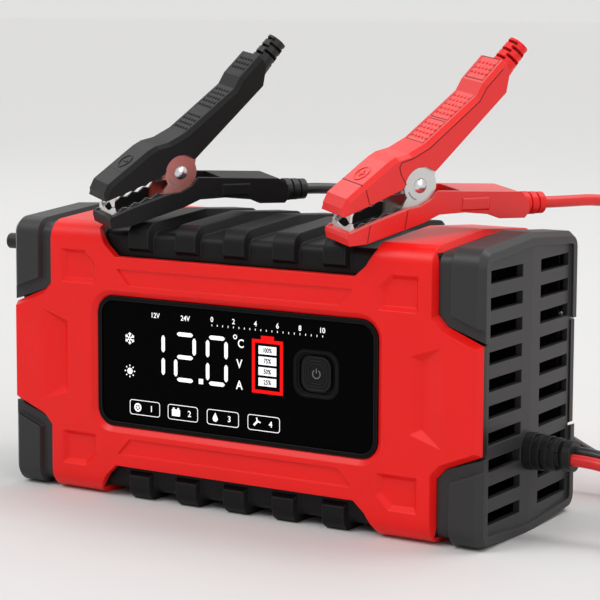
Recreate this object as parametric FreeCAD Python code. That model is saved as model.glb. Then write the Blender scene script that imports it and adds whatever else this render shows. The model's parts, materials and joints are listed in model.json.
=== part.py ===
import FreeCAD, Part
import math
import os

# Battery charger with two spring clamps lying on it, in millimetres.
# X runs along the front, Y from the front to the back, Z up.
# The origin is the middle of the footprint, on the surface that the charger stands on.

# Casing
length = 198.0
depth = 78.5
rest_height = 51.2
floor_clear = 0.4
roof_rise = 2.4
crease_height = rest_height - floor_clear
peak_height = crease_height + roof_rise
edge_round = 7.5
wall = 2.2
thick_wall = 5.0
fit = 0.15

# Red front, which stands proud of the end caps and falls to them in a chamfer
seam_half = 81.3
seam_run = 1.3
front_half = seam_half - seam_run
seam_drop_y = 3.0
seam_drop_z = 2.0
tongue_half = 98.3
tongue_chamfer = 1.4
tongue_root = 1.0
sleeve_half = 94.0

# End caps
cap_wall = 2.0
pad_setback = 5.7
pad_start = seam_half + pad_setback
pad_bevel = 1.2
pad_inset = 0.8
pad_chamfer = 2.2
panel_outer = 97.8
panel_thick = 2.0
panel_ridge = 0.6
rim_inset_y = 6.0
rim_inset_z = 4.4
slot_rows = 10
slot_margin = 5.3
slot_pitch = 2 * (crease_height - slot_margin) / slot_rows
slot_height = 4.5
slot_near = 7.1
slot_far = 31.3

# Display opening, frame, window and button
opening_half_x = 61.5
opening_half_z = 26.4
opening_round = 9.0
opening_bevel = 2.2
bevel_depth = 1.8
frame_rim = 1.5
frame_flange = 1.6
frame_front = 1.2
window_front = 1.9
window_thick = 2.0
tray_thick = 1.3
button_x = 34.1
button_z = 3.2
button_half_x = 5.85
button_half_z = 6.15
button_round = 3.9
button_recess_x = 9.4
button_recess_z = 8.6
button_front = 2.4
button_travel = 0.6
button_gap = 0.2
board_thick = 1.6
display_board_back = 11.6
display_board_half_x = 57.0
display_board_half_z = 21.5
display_post_x = 53.0
display_post_z = 18.0
display_post_r = 2.6
display_tap_r = 1.0
digits_left = -35.5
digits_right = -0.5
digits_low = -6.5
digits_high = 14.5
digits_room = 0.5

# Black ribbed grips on the top and the bottom
grip_half = 58.4
grip_drop = 12.0
grip_edge_z = crease_height - grip_drop
grip_shoulder = 4.0
grip_rise = 9.8
grip_corner_x = 50.5
grip_slant = 4.5
band_inset_y = 4.2
band_inset_z = 2.6
grip_wall = 2.0
rib_count = 5
rib_pitch = 20.65
rib_width = 11.2
rib_bevel = 1.3
rib_inset_y = 1.8
rib_inset_z = -0.8
rib_foot = 2.0

# Pockets, wedges and shallow panels pressed into the red faces
pocket_margin = 4.8
pocket_wide = 15.6
pocket_drop = 10.3
pocket_tall = 12.5
pocket_out = front_half - pocket_margin
pocket_in = pocket_out - pocket_wide
pocket_high = crease_height - pocket_drop
pocket_low = pocket_high - pocket_tall
pocket_cut = 4.6
pocket_bevel = 1.6
pocket_depth = 1.8
wedge_in = 72.0
wedge_deep_x = 75.6
wedge_out = 84.6
wedge_half_in = 13.4
wedge_half_deep = 11.6
wedge_half_out = 17.4
wedge_depth = 2.4
panel_wide = 49.6
panel_narrow = 44.2
panel_gap = 4.5
panel_tall = 5.9
panel_top = grip_edge_z - panel_gap
panel_bottom = panel_top - panel_tall
panel_depth = 0.7

# Casing screws, from the back into posts on the front shell
screw_in = 7.8
screw_below = 6.3
screw_x = pocket_out - screw_in
screw_z = pocket_high - screw_below
screw_r = 1.5
screw_head_r = 2.9
screw_head_h = 2.0
screw_length = 52.0
post_r = 3.8
screw_clear = 0.2

# Main board and what stands on it
board_left = -66.0
board_right = 66.0
board_half_y = 29.0
board_rise = 10.0
board_z = floor_clear + board_rise
foot_drop = 5.8
standoff_foot = board_z - foot_drop
standoff_x = 60.5
standoff_y = 24.0
standoff_r = 3.5
core_x = -22.0
core_size = 32.0
core_height = 27.0
core_leg = 10.0
core_window = 6.0
core_depth = 26.0
sink_length = 44.0
sink_height = 26.0
sink_base = 3.0
sink_fin = 1.4
sink_fins = 9
sink_depth = 9.0
sink_x = 34.0
sink_y = 20.0
cap_r = 8.0
cap_h = 25.0
cap_in = 13.9
cap_x = screw_x - cap_in
cap_places = ((-cap_x, 12.0), (-cap_x, -6.0), (29.0, 0.0))
choke_r = 8.0
choke_wire = 4.0
choke_x = 5.0
fuse_x = -54.0
fuse_y = -22.0

# Fan behind the left end
fan_size = 50.0
fan_thick = 15.0
fan_drop = 8.2
fan_z = rest_height - fan_drop
fan_bore_r = 23.6
fan_hub_r = 9.5
fan_shaft_r = 1.5
fan_running = 0.05
fan_blades = 7
fan_screw_pitch = 20.0

# Output strain relief, low on the right end, and the mains gland on the left end
relief_drop = 22.9
relief_z = rest_height - relief_drop
relief_r = 6.6
relief_end_r = 5.4
relief_reach = 16.5
relief_end_x = length / 2 + relief_reach
relief_ribs = 4
gland_rise = 36.0
gland_z = rest_height + gland_rise
gland_r = 5.8
gland_tip_r = 3.1
gland_bore_r = 2.1
gland_reach = 32.0
gland_tip_x = -length / 2 - gland_reach

# Leads
lead_d = 4.2
lead_apart_y = 2.0
lead_apart_z = 0.95
lead_straight = 10.0
coil_x = 172.0
coil_y = 23.0
coil_r = 25.8
coil_halves = 3
coil_pitch = 4.8
tie_thick = 0.8
tie_wide = 5.0
tie_slack = 0.7

# Clamps: where they lie, and how they are turned
clamp_x = 52.6
clamp_y = -46.25
clamp_sink = 0.5
clamp_z = rest_height + crease_height - clamp_sink
clamp_yaw = 59.8
clamp_roll = 6.0
clamp_pitch = 0.5
black_shift = -99.0
clamp_width = 16.0
clamp_wall = 1.4
lever_chamfer = 1.4
pivot_u = 27.1
pivot_w = 19.2
ear_r = 6.3
ear_clear = 0.5
sheet = 0.8
sheet_gap = 0.1
rivet_r = 2.0
rivet_head_r = 2.6
rivet_head_h = 1.3
rivet_running = 0.06
mouth_w = 6.85
mouth_gap = 0.2
lens_half = 5.2
lens_rise = 1.9
tooth_pitch = 4.4
tooth_rise = 0.55
spring_r = 3.2
spring_wire = 0.9
spring_turns = 3
spring_side_room = 1.5
spring_lean_upper = 42.0
spring_lean_lower = -8.0
spring_leg_upper = 18.0
spring_leg_lower = 12.5
upper_boot_from = (58.4, 56.3)
upper_boot_to = (67.0, 66.8)
upper_boot_r = 4.3
upper_boot_tip_r = 3.7
upper_boot_bore = 2.4
upper_boot_slots = 5
lower_boot_start = 72.2
lower_boot_end = 82.0
lower_boot_w = 10.4
lower_boot_r = 4.2
lower_boot_ribs = 3

half_depth = depth / 2
half_length = length / 2


def vec(x, y, z):
    return FreeCAD.Vector(x, y, z)


# The points that each lead passes between its ends, chosen by hand
red_start_route = [vec(137, -2.3, 24.0), vec(149, -2.6, 17.4)]
black_start_route = [vec(134.5, 2.1, 24.6), vec(142.5, 1.0, 15.8), vec(152, -1.5, 6.6)]
red_end_route = [
    vec(100.5, 51.5, 112), vec(108, 63, 108.5), vec(117, 72.5, 99.5), vec(125, 78, 85), vec(131, 79, 67),
    vec(134.5, 75, 50), vec(138, 68, 35), vec(144, 60, 25), vec(152, 55.5, 19.5),
]
black_end_route = [
    vec(2, 51, 110), vec(14, 58, 98), vec(26, 62, 80), vec(38, 64, 58), vec(54, 66, 38), vec(74, 67, 23),
    vec(96, 66, 13), vec(114, 63, 7), vec(131, 58.5, 3.6), vec(147, 55, 4.9),
]


def box(x0, x1, y0, y1, z0, z1):
    return Part.makeBox(x1 - x0, y1 - y0, z1 - z0, vec(x0, y0, z0))


def rod(radius, start, end):
    run = end.sub(start)
    return Part.makeCylinder(radius, run.Length, start, run)


def mirror_x(shape):
    return shape.mirror(vec(0, 0, 0), vec(1, 0, 0))


def mirror_y(shape):
    return shape.mirror(vec(0, 0, 0), vec(0, 1, 0))


def mirror_z(shape):
    return shape.mirror(vec(0, 0, rest_height), vec(0, 0, 1))


def join(shapes):
    first = shapes[0]
    if len(shapes) == 1:
        return first
    return first.fuse(shapes[1:]).removeSplitter()


def group(shapes):
    return Part.makeCompound(shapes)


def polygon(points):
    return Part.makePolygon(points + [points[0]])


def arc(a, middle, b):
    return Part.Arc(a, middle, b).toShape()


def line(a, b):
    return Part.LineSegment(a, b).toShape()


def front_outline(points, y):
    """A closed outline in a plane across Y, heights counted from mid-height."""
    return polygon([vec(x, y, rest_height + z) for x, z in points])


def front_prism(points, y0, y1):
    return Part.Face(front_outline(points, y0)).extrude(vec(0, y1 - y0, 0))


def front_loft(points_a, y_a, points_b, y_b):
    return Part.makeLoft([front_outline(points_a, y_a), front_outline(points_b, y_b)], True, True)


def round_rect(cx, cz, half_x, half_z, radius, y):
    """A rounded rectangle facing the front, heights counted from mid-height."""
    edges = []
    corners = [(1, 1), (-1, 1), (-1, -1), (1, -1)]
    ends = []
    for sx, sz in corners:
        mx = cx + sx * (half_x - radius)
        mz = rest_height + cz + sz * (half_z - radius)
        on_side = vec(mx + sx * radius, y, mz)
        on_top = vec(mx, y, mz + sz * radius)
        mid = vec(mx + sx * radius * math.sqrt(0.5), y, mz + sz * radius * math.sqrt(0.5))
        start, end = (on_side, on_top) if sx * sz > 0 else (on_top, on_side)
        ends.append((start, end))
        edges.append(arc(start, mid, end))
    for i in range(4):
        edges.insert(2 * i + 1, line(ends[i][1], ends[(i + 1) % 4][0]))
    return Part.Wire(edges)


def round_plate(cx, cz, half_x, half_z, radius, y0, y1):
    face = Part.Face(round_rect(cx, cz, half_x, half_z, radius, y0))
    return face.extrude(vec(0, y1 - y0, 0))


def section(x, inset_y, inset_z):
    """The casing's outline across X: upright faces, rounded long edges and roofed top and bottom."""
    hy = half_depth - inset_y
    hz = crease_height - inset_z
    peak = peak_height - inset_z
    r = max(edge_round - max(inset_y, inset_z), 1.0)
    k = r * (1 - math.sqrt(0.5))

    def at(y, z):
        return vec(x, y, rest_height + z)

    edges = [
        line(at(-hy, -hz + r), at(-hy, hz - r)),
        arc(at(-hy, hz - r), at(-hy + k, hz - k), at(-hy + r, hz)),
        line(at(-hy + r, hz), at(0, peak)),
        line(at(0, peak), at(hy - r, hz)),
        arc(at(hy - r, hz), at(hy - k, hz - k), at(hy, hz - r)),
        line(at(hy, hz - r), at(hy, -hz + r)),
        arc(at(hy, -hz + r), at(hy - k, -hz + k), at(hy - r, -hz)),
        line(at(hy - r, -hz), at(0, -peak)),
        line(at(0, -peak), at(-hy + r, -hz)),
        arc(at(-hy + r, -hz), at(-hy + k, -hz + k), at(-hy, -hz + r)),
    ]
    return Part.Wire(edges)


def casing_prism(x0, x1, inset_y, inset_z):
    return Part.Face(section(x0, inset_y, inset_z)).extrude(vec(x1 - x0, 0, 0))


def casing_loft(stations):
    return Part.makeLoft([section(*station) for station in stations], True, True)


def above_floor(shape):
    return shape.common(box(-400, 400, -400, 400, 0, 400))


def tongue_outline(grow, end):
    """The red tongue that reaches to each end between the corner pads."""
    return [
        (seam_half - 4, -30.0 - grow), (seam_half, -28.0 - grow), (seam_half + 3.6, -24.1 - grow),
        (end, -18.6 - grow), (end, 18.6 + grow),
        (seam_half + 3.6, 24.1 + grow), (seam_half, 28.0 + grow), (seam_half - 4, 30.0 + grow),
    ]


def tongue():
    foot = tongue_outline(0, tongue_half)
    crown = [(x - tongue_chamfer, z - math.copysign(tongue_chamfer, z)) for x, z in foot]
    sloped = front_loft(crown, -half_depth, foot, -half_depth + seam_drop_y)
    base = front_prism(foot, -half_depth + seam_drop_y, -half_depth + seam_drop_y + cap_wall + tongue_root)
    return join([sloped, base])


def grip_outline(grow):
    edge = grip_edge_z - grow
    return [
        (-grip_half - grow, edge + 31.2 + grow), (-grip_half - grow, edge + grip_rise),
        (-grip_corner_x - grip_slant - grow, edge + grip_shoulder),
        (-grip_corner_x - grow, edge), (grip_corner_x + grow, edge),
        (grip_corner_x + grip_slant + grow, edge + grip_shoulder),
        (grip_half + grow, edge + grip_rise), (grip_half + grow, edge + 31.2 + grow),
    ]


def pocket(sx, sz):
    """A corner pocket with sloping walls; its corner towards the middle of the face is cut."""
    top = [
        (pocket_out, pocket_low), (pocket_out, pocket_high), (pocket_in + pocket_cut, pocket_high),
        (pocket_in, pocket_high - pocket_cut), (pocket_in, pocket_low),
    ]
    b = pocket_bevel
    c = pocket_cut - 0.4 * b
    floor = [
        (pocket_out - b, pocket_low + b), (pocket_out - b, pocket_high - b),
        (pocket_in + b + c, pocket_high - b), (pocket_in + b, pocket_high - b - c),
        (pocket_in + b, pocket_low + b),
    ]
    top = [(sx * x, sz * z) for x, z in top]
    floor = [(sx * x, sz * z) for x, z in floor]
    return front_loft(top, -half_depth - 0.01, floor, -half_depth + pocket_depth)


def wedge():
    """The dent beside the display, deepest at its inner wall and fading out towards the end."""
    y0 = -half_depth - 0.01
    y1 = -half_depth + wedge_depth
    a = vec(wedge_in, y0, rest_height + wedge_half_in)
    b = vec(wedge_out, y0, rest_height + wedge_half_out)
    c = vec(wedge_out, y0, rest_height - wedge_half_out)
    d = vec(wedge_in, y0, rest_height - wedge_half_in)
    e = vec(wedge_deep_x, y1, rest_height + wedge_half_deep)
    f = vec(wedge_deep_x, y1, rest_height - wedge_half_deep)
    faces = [[a, b, c, d], [a, d, f, e], [b, e, f, c], [a, e, b], [d, c, f]]
    shell = Part.makeShell([Part.Face(polygon(points)) for points in faces])
    return Part.makeSolid(shell)


def shallow_panel(sz):
    wide = [
        (-panel_wide, sz * panel_top), (panel_wide, sz * panel_top),
        (panel_narrow, sz * panel_bottom), (-panel_narrow, sz * panel_bottom),
    ]
    return front_prism(wide, -half_depth - 0.01, -half_depth + panel_depth)


def shell_voids():
    """The space inside the two shells, shallower behind the grips, pockets and end sleeves."""
    inner = grip_half - 1.0
    back = grip_half + 2.0
    step = front_half - 0.7
    backing_z = grip_edge_z - 2.0
    hollow = casing_prism(-inner, inner, wall, wall)
    for sign in (1, -1):
        low, high = (backing_z, 70.0) if sign > 0 else (-70.0, -backing_z)
        hollow = hollow.cut(box(-inner - 1, inner + 1, -60, 60, rest_height + low, rest_height + high))
    floor_y = band_inset_y + 2 * grip_wall + fit
    floor_z = band_inset_z + 2 * grip_wall + fit
    deep = casing_prism(-back, back, floor_y, floor_z)
    end_y = seam_drop_y + cap_wall + fit + 2.0
    end_z = seam_drop_z + cap_wall + fit + 2.0
    parts = [hollow, deep]
    for sign in (1, -1):
        side = casing_prism(back - 1, step, thick_wall, thick_wall)
        end = casing_prism(step - 0.5, sleeve_half + 1, end_y, end_z)
        parts += [side, end] if sign > 0 else [mirror_x(side), mirror_x(end)]
    return join(parts)


def casing_body():
    """Both shells as one body, before they are split along the middle of the depth."""
    body = casing_loft([
        (-seam_half, seam_drop_y, seam_drop_z), (-front_half, 0, 0),
        (front_half, 0, 0), (seam_half, seam_drop_y, seam_drop_z),
    ])
    sleeve_y = seam_drop_y + cap_wall + fit
    sleeve_z = seam_drop_z + cap_wall + fit
    sleeve = casing_prism(-sleeve_half, sleeve_half, sleeve_y, sleeve_z)
    one = tongue()
    tongues = [one, mirror_x(one), mirror_y(one), mirror_x(mirror_y(one))]
    body = join([body, sleeve] + tongues)
    cavity = front_prism(grip_outline(0), -60, 60)
    deep = casing_prism(-grip_half - 5, grip_half + 5, band_inset_y + grip_wall + fit,
                        band_inset_z + grip_wall + fit)
    cavity = cavity.cut(deep)
    body = body.cut([cavity, mirror_z(cavity)])
    body = body.cut(shell_voids())
    return above_floor(body)


def face_cuts():
    cuts = [pocket(sx, sz) for sx in (1, -1) for sz in (1, -1)]
    dent = wedge()
    cuts += [dent, mirror_x(dent), shallow_panel(1), shallow_panel(-1)]
    return cuts


def screw_places():
    return [(sx * screw_x, rest_height + sz * screw_z) for sx in (1, -1) for sz in (1, -1)]


def front_shell(body):
    shell = body.common(box(-200, 200, -100, -fit / 2, -10, 200)).cut(face_cuts())
    outer = round_rect(0, 0, opening_half_x, opening_half_z, opening_round, -half_depth - 0.01)
    bevelled = round_rect(0, 0, opening_half_x - opening_bevel, opening_half_z - opening_bevel,
                          opening_round - opening_bevel, -half_depth + bevel_depth)
    funnel = Part.makeLoft([outer, bevelled], True, True)
    through = round_plate(0, 0, opening_half_x - opening_bevel, opening_half_z - opening_bevel,
                          opening_round - opening_bevel, -half_depth + bevel_depth, -half_depth + thick_wall)
    room = round_plate(0, 0, opening_half_x - opening_bevel + frame_flange + fit,
                       opening_half_z - opening_bevel + frame_flange + fit, opening_round - opening_bevel,
                       -half_depth + wall + fit, -half_depth + display_board_back + 2)
    shell = shell.cut([funnel, through, room])
    posts = []
    holes = []
    for x, z in screw_places():
        start = vec(x, -half_depth + thick_wall - 0.5, z)
        end = vec(x, -fit / 2, z)
        posts.append(rod(post_r, start, end))
        holes.append(rod(screw_r, vec(x, -screw_length / 2, z), vec(x, 1, z)))
    posts += standoffs(-standoff_y)
    holes += [rod(1.25, vec(x, -standoff_y, board_z - 5), vec(x, -standoff_y, board_z + 1))
              for x in (-standoff_x, standoff_x)]
    return join([shell] + posts).cut(holes)


def rear_shell(body):
    cuts = [mirror_y(cut) for cut in face_cuts()]
    shell = body.common(box(-200, 200, fit / 2, 100, -10, 200)).cut(cuts)
    posts = []
    holes = []
    floor_y = half_depth - pocket_depth
    for x, z in screw_places():
        posts.append(rod(post_r, vec(x, fit / 2, z), vec(x, half_depth - thick_wall + 0.5, z)))
        holes.append(rod(screw_r + screw_clear, vec(x, -1, z), vec(x, half_depth, z)))
        seat = vec(x, floor_y - screw_head_h, z)
        shaft_end = vec(x, half_depth + 1, z)
        holes.append(rod(screw_head_r + screw_clear, seat, shaft_end))
    posts += standoffs(standoff_y)
    holes += [rod(1.25, vec(x, standoff_y, board_z - 5), vec(x, standoff_y, board_z + 1))
              for x in (-standoff_x, standoff_x)]
    return join([shell] + posts).cut(holes)


def standoffs(y):
    return [rod(standoff_r, vec(x, y, standoff_foot), vec(x, y, board_z)) for x in (-standoff_x,
                                                                                    standoff_x)]


def casing_screws():
    screws = []
    for x, z in screw_places():
        seat = half_depth - pocket_depth - screw_head_h
        shank = rod(screw_r, vec(x, seat - screw_length + 1, z), vec(x, seat + 0.5, z))
        head = rod(screw_head_r, vec(x, seat, z), vec(x, seat + screw_head_h - 0.2, z))
        slot = box(x - 2, x + 2, seat + 1.0, seat + screw_head_h, z - 0.4, z + 0.4)
        cross = box(x - 0.4, x + 0.4, seat + 1.0, seat + screw_head_h, z - 2, z + 2)
        screws.append(join([shank, head]).cut([slot, cross]))
    return group(screws)


def grip():
    """One ribbed grip, made for the top: a band along the casing's outline with ribs across it."""
    band = casing_prism(-grip_half + fit, grip_half - fit, band_inset_y, band_inset_z)
    inner = casing_prism(-grip_half, grip_half, band_inset_y + grip_wall, band_inset_z + grip_wall)
    band = band.cut(inner).common(front_prism(grip_outline(-fit), -60, 60))
    foot_z = rest_height + grip_edge_z + rib_foot
    front_y = -half_depth + rib_inset_y
    band_y = -half_depth + band_inset_y
    drop = band_y - front_y
    envelope = [
        vec(0, band_y + 1.0, foot_z - 1.0 * 0.5), vec(0, band_y, foot_z), vec(0, front_y - 1,
                                                                              foot_z + drop * 0.9),
        vec(0, front_y - 1, 200), vec(0, -front_y + 1, 200), vec(0, -front_y + 1, foot_z + drop * 0.9),
        vec(0, -band_y, foot_z), vec(0, -band_y - 1.0, foot_z - 1.0 * 0.5),
    ]
    ribs = []
    for i in range(rib_count):
        x = (i - (rib_count - 1) / 2) * rib_pitch
        rib = casing_loft([
            (x - rib_width / 2, band_inset_y + 0.5, band_inset_z + 0.5),
            (x - rib_width / 2 + rib_bevel, rib_inset_y, rib_inset_z),
            (x + rib_width / 2 - rib_bevel, rib_inset_y, rib_inset_z),
            (x + rib_width / 2, band_inset_y + 0.5, band_inset_z + 0.5),
        ])
        limits = Part.Face(polygon(envelope)).extrude(vec(200, 0, 0)).translate(vec(-100, 0, 0))
        core = casing_prism(x - rib_width, x + rib_width, band_inset_y + 1, band_inset_z + 1)
        ribs.append(rib.common(limits).cut(core))
    return join([band] + ribs)


def end_cap():
    """The right end cap; the left one is its mirror image."""
    base = casing_prism(seam_half + fit, panel_outer, seam_drop_y, seam_drop_z)
    pad = casing_loft([
        (pad_start - pad_bevel, seam_drop_y + 0.2, seam_drop_z + 0.2), (pad_start, pad_inset, 0),
        (half_length - pad_chamfer, pad_inset, 0), (half_length, pad_inset + pad_chamfer,
                                                    0.8 * pad_chamfer),
    ])
    clear = [
        (seam_half - 2, -28.4), (pad_start, -28.4), (half_length + 1, -23.4),
        (half_length + 1, 23.4), (pad_start, 28.4), (seam_half - 2, 28.4),
    ]
    dip = front_prism(clear, -half_depth - 2, -half_depth + seam_drop_y)
    pad = pad.cut([dip, mirror_y(dip)])
    cap = join([base, pad])
    inner = casing_prism(seam_half - 1, panel_outer - panel_thick, seam_drop_y + cap_wall,
                         seam_drop_z + cap_wall)
    recess = casing_prism(panel_outer, half_length + 1, rim_inset_y, rim_inset_z)
    window = tongue_outline(fit, half_length + 2)
    room = front_prism(window, -half_depth - 2, -half_depth + seam_drop_y + cap_wall + tongue_root + fit)
    cap = cap.cut([inner, recess, room, mirror_y(room)])
    hy = half_depth - rim_inset_y - 0.05
    ridge = Part.Face(polygon([
        vec(panel_outer - 0.5, -hy, 0), vec(panel_outer, -hy, 0), vec(panel_outer + panel_ridge, 0, 0),
        vec(panel_outer, hy, 0), vec(panel_outer - 0.5, hy, 0),
    ])).extrude(vec(0, 0, 2 * rest_height + 8))
    ridge = ridge.common(casing_prism(panel_outer - 1, half_length, rim_inset_y, rim_inset_z))
    cap = join([cap, ridge])
    slots = []
    for row in range(slot_rows):
        z = rest_height + ((slot_rows - 1) / 2 - row) * slot_pitch
        for y0, y1 in ((slot_near, slot_far), (-slot_far, -slot_near)):
            slots.append(box(panel_outer - panel_thick - 1, half_length + 1, y0, y1,
                             z - slot_height / 2, z + slot_height / 2))
    return above_floor(cap.cut(slots))


def right_end_cap():
    hole = rod(relief_r - 0.4 + fit, vec(90, 0, relief_z), vec(110, 0, relief_z))
    return end_cap().cut(hole)


def left_end_cap():
    hole = rod(gland_r - 0.6 + fit, vec(-90, 0, gland_z), vec(-110, 0, gland_z))
    holes = [hole]
    for y, z in fan_screw_places():
        holes.append(rod(screw_r, vec(-90, y, z), vec(-panel_outer + 0.7, y, z)))
    return mirror_x(end_cap()).cut(holes)


def display_frame():
    inner_x = opening_half_x - opening_bevel
    inner_z = opening_half_z - opening_bevel
    r = opening_round - opening_bevel
    y0 = -half_depth + frame_front
    tray_y = -half_depth + window_front + window_thick
    tray_back = tray_y + tray_thick
    ring = round_plate(0, 0, inner_x - fit, inner_z - fit, r - fit, y0, tray_back)
    flange = round_plate(0, 0, inner_x + frame_flange, inner_z + frame_flange, r,
                         -half_depth + wall + 2 * fit, tray_back)
    well = round_plate(0, 0, inner_x - fit - frame_rim, inner_z - fit - frame_rim, r - frame_rim, y0 - 1,
                       tray_y)
    digits = box(digits_left - digits_room, digits_right + digits_room, tray_y - 1, tray_back + 1,
                 rest_height + digits_low - digits_room, rest_height + digits_high + digits_room)
    hole = round_plate(button_x, button_z, button_half_x + button_gap, button_half_z + button_gap,
                       button_round, tray_y - 1, tray_back + 1)
    legs = []
    for x, z in display_post_places():
        foot = vec(x, -half_depth + display_board_back - board_thick, z)
        legs.append(rod(display_post_r, vec(x, tray_back - 0.2, z), foot))
    frame = join([ring, flange]).cut([well, digits, hole])
    frame = join([frame] + legs)
    taps = [rod(display_tap_r, vec(x, -half_depth + 7, z), vec(x, -half_depth + 20, z)) for x,
            z in display_post_places()]
    return frame.cut(taps)


def display_post_places():
    return [(sx * display_post_x, rest_height + sz * display_post_z) for sx in (1, -1) for sz in (1, -1)]


def display_window():
    inner_x = opening_half_x - opening_bevel - fit - frame_rim - fit
    inner_z = opening_half_z - opening_bevel - fit - frame_rim - fit
    r = opening_round - opening_bevel - frame_rim - fit
    y0 = -half_depth + window_front
    pane = round_plate(0, 0, inner_x, inner_z, r, y0, y0 + window_thick)
    hole = round_plate(button_x, button_z, button_recess_x, button_recess_z, 5.0, y0 - 1,
                       y0 + window_thick + 1)
    return pane.cut(hole)


def mode_button():
    y0 = -half_depth + button_front
    plate_back = -half_depth + window_front + window_thick + tray_thick
    crown = round_plate(button_x, button_z, button_half_x, button_half_z, button_round - button_gap,
                        y0, plate_back + 1.2)
    collar = round_plate(button_x, button_z, button_half_x + 1.0, button_half_z + 1.0, button_round,
                         plate_back + 0.1, plate_back + 1.2)
    stem = rod(1.5, vec(button_x, plate_back + 1.0, rest_height + button_z),
               vec(button_x, switch_top_y() - button_travel - 0.1, rest_height + button_z))
    cap = join([crown, collar, stem])
    edge = round_plate(button_x, button_z, button_half_x - 0.7, button_half_z - 0.7, button_round - 0.9,
                       y0 - 1, y0 + 0.25)
    return cap.cut(edge)


def switch_top_y():
    return -half_depth + display_board_back - board_thick - 1.4


def push_switch():
    back = -half_depth + display_board_back - board_thick
    z = rest_height + button_z
    case = box(button_x - 3, button_x + 3, switch_top_y() + 0.6, back, z - 3, z + 3)
    plunger = rod(1.7, vec(button_x, switch_top_y(), z), vec(button_x, back - 0.3, z))
    return join([case, plunger])


def display_board():
    y1 = -half_depth + display_board_back
    board = box(-display_board_half_x, display_board_half_x, y1 - board_thick, y1,
                rest_height - display_board_half_z, rest_height + display_board_half_z)
    return board.cut([rod(1.2, vec(x, y1 - 3, z), vec(x, y1 + 1, z)) for x, z in display_post_places()])


def digit_module():
    y1 = -half_depth + display_board_back - board_thick
    y0 = -half_depth + window_front + window_thick + 0.1
    return box(digits_left, digits_right, y0, y1, rest_height + digits_low, rest_height + digits_high)


def small_screw(x, y, z, axis, radius, head_r, run):
    tip = vec(x, y, z)
    shank = rod(radius, tip, tip.add(vec(axis[0] * run, axis[1] * run, axis[2] * run)))
    head = rod(head_r, tip, tip.sub(vec(axis[0] * 1.4, axis[1] * 1.4, axis[2] * 1.4)))
    return join([shank, head])


def display_screws():
    y = -half_depth + display_board_back
    return group([small_screw(x, y, z, (0, -1, 0), 1.0, 2.0, 4.4) for x, z in display_post_places()])


def main_board():
    board = box(board_left, board_right, -board_half_y, board_half_y, board_z, board_z + board_thick)
    holes = [rod(1.5, vec(x, y, board_z - 1), vec(x, y, board_z + 3)) for x, y in standoff_places()]
    return board.cut(holes)


def standoff_places():
    return [(sx * standoff_x, sy * standoff_y) for sx in (1, -1) for sy in (1, -1)]


def board_screws():
    z = board_z + board_thick
    return group([small_screw(x, y, z, (0, 0, -1), 1.25, 2.5, 6.0) for x, y in standoff_places()])


def transformer_core():
    z0 = board_z + board_thick
    block = box(core_x - core_size / 2, core_x + core_size / 2, -core_depth / 2, core_depth / 2, z0,
                z0 + core_height)
    windows = []
    for side in (1, -1):
        near = core_leg / 2 * side
        far = near + core_window * side
        windows.append(box(core_x + min(near, far), core_x + max(near, far), -20, 20, z0 + 5,
                           z0 + core_height - 5))
    return block.cut(windows)


def transformer_winding():
    z0 = board_z + board_thick + 5.2
    z1 = board_z + board_thick + core_height - 5.2
    outer_x = core_leg / 2 + core_window - 0.2
    outer_y = core_depth / 2 + core_window
    block = box(core_x - outer_x, core_x + outer_x, -outer_y, outer_y, z0, z1)
    block = block.makeFillet(4.0, [e for e in block.Edges if abs(e.tangentAt(0).z) > 0.9])
    leg = core_leg / 2 + 0.2
    return block.cut(box(core_x - leg, core_x + leg, -core_depth / 2 - 0.2, core_depth / 2 + 0.2, z0 - 1,
                         z1 + 1))


def heat_sink(side):
    z0 = board_z + board_thick
    x0 = sink_x - sink_length / 2
    x1 = sink_x + sink_length / 2
    y_base = side * sink_y
    plate = box(x0, x1, min(y_base, y_base - side * sink_base), max(y_base, y_base - side * sink_base),
                z0, z0 + sink_height)
    parts = [plate]
    pitch = (sink_length - sink_fin) / (sink_fins - 1)
    for i in range(sink_fins):
        fx = x0 + i * pitch
        y_end = y_base + side * (sink_depth - sink_base)
        parts.append(box(fx, fx + sink_fin, min(y_base, y_end), max(y_base, y_end), z0, z0 + sink_height))
    return join(parts)


def power_transistors():
    z0 = board_z + board_thick
    parts = []
    for side in (1, -1):
        y1 = side * (sink_y - sink_base)
        y0 = y1 - side * 4.4
        for offset in (-12.0, 12.0):
            x = sink_x + offset
            body = box(x - 5, x + 5, min(y0, y1), max(y0, y1), z0 + 4.0, z0 + 19.0)
            legs = [box(x + d - 0.4, x + d + 0.4, y1 - side * 2.4 - 0.3, y1 - side * 2.4 + 0.3, z0,
                        z0 + 4.2)
                    for d in (-2.5, 0, 2.5)]
            parts.append(join([body] + legs))
    return group(parts)


def capacitors():
    z0 = board_z + board_thick
    cans = []
    for x, y in cap_places:
        can = Part.makeCylinder(cap_r, cap_h, vec(x, y, z0))
        rims = [e for e in can.Edges if e.Curve.TypeId == "Part::GeomCircle"]
        cans.append(can.makeFillet(0.8, rims))
    return group(cans)


def choke():
    z0 = board_z + board_thick
    ring = Part.makeTorus(choke_r, choke_wire, vec(choke_x, 0, z0 + choke_r + choke_wire), vec(1, 0, 0))
    foot = box(choke_x - choke_wire, choke_x + choke_wire, -5, 5, z0, z0 + 2.5)
    return join([ring, foot])


def fuse():
    z = board_z + board_thick + 6.0
    glass = rod(2.6, vec(fuse_x - 1, fuse_y, z), vec(fuse_x + 12.0, fuse_y, z))
    clips = [box(x, x + 1.6, fuse_y - 3, fuse_y + 3, board_z + board_thick, z + 1.0) for x in (fuse_x,
                                                                                               fuse_x + 9.4)]
    return join([glass] + clips)


def fan_screw_places():
    return [(sy * fan_screw_pitch, fan_z + sz * fan_screw_pitch) for sy in (1, -1) for sz in (1, -1)]


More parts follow.
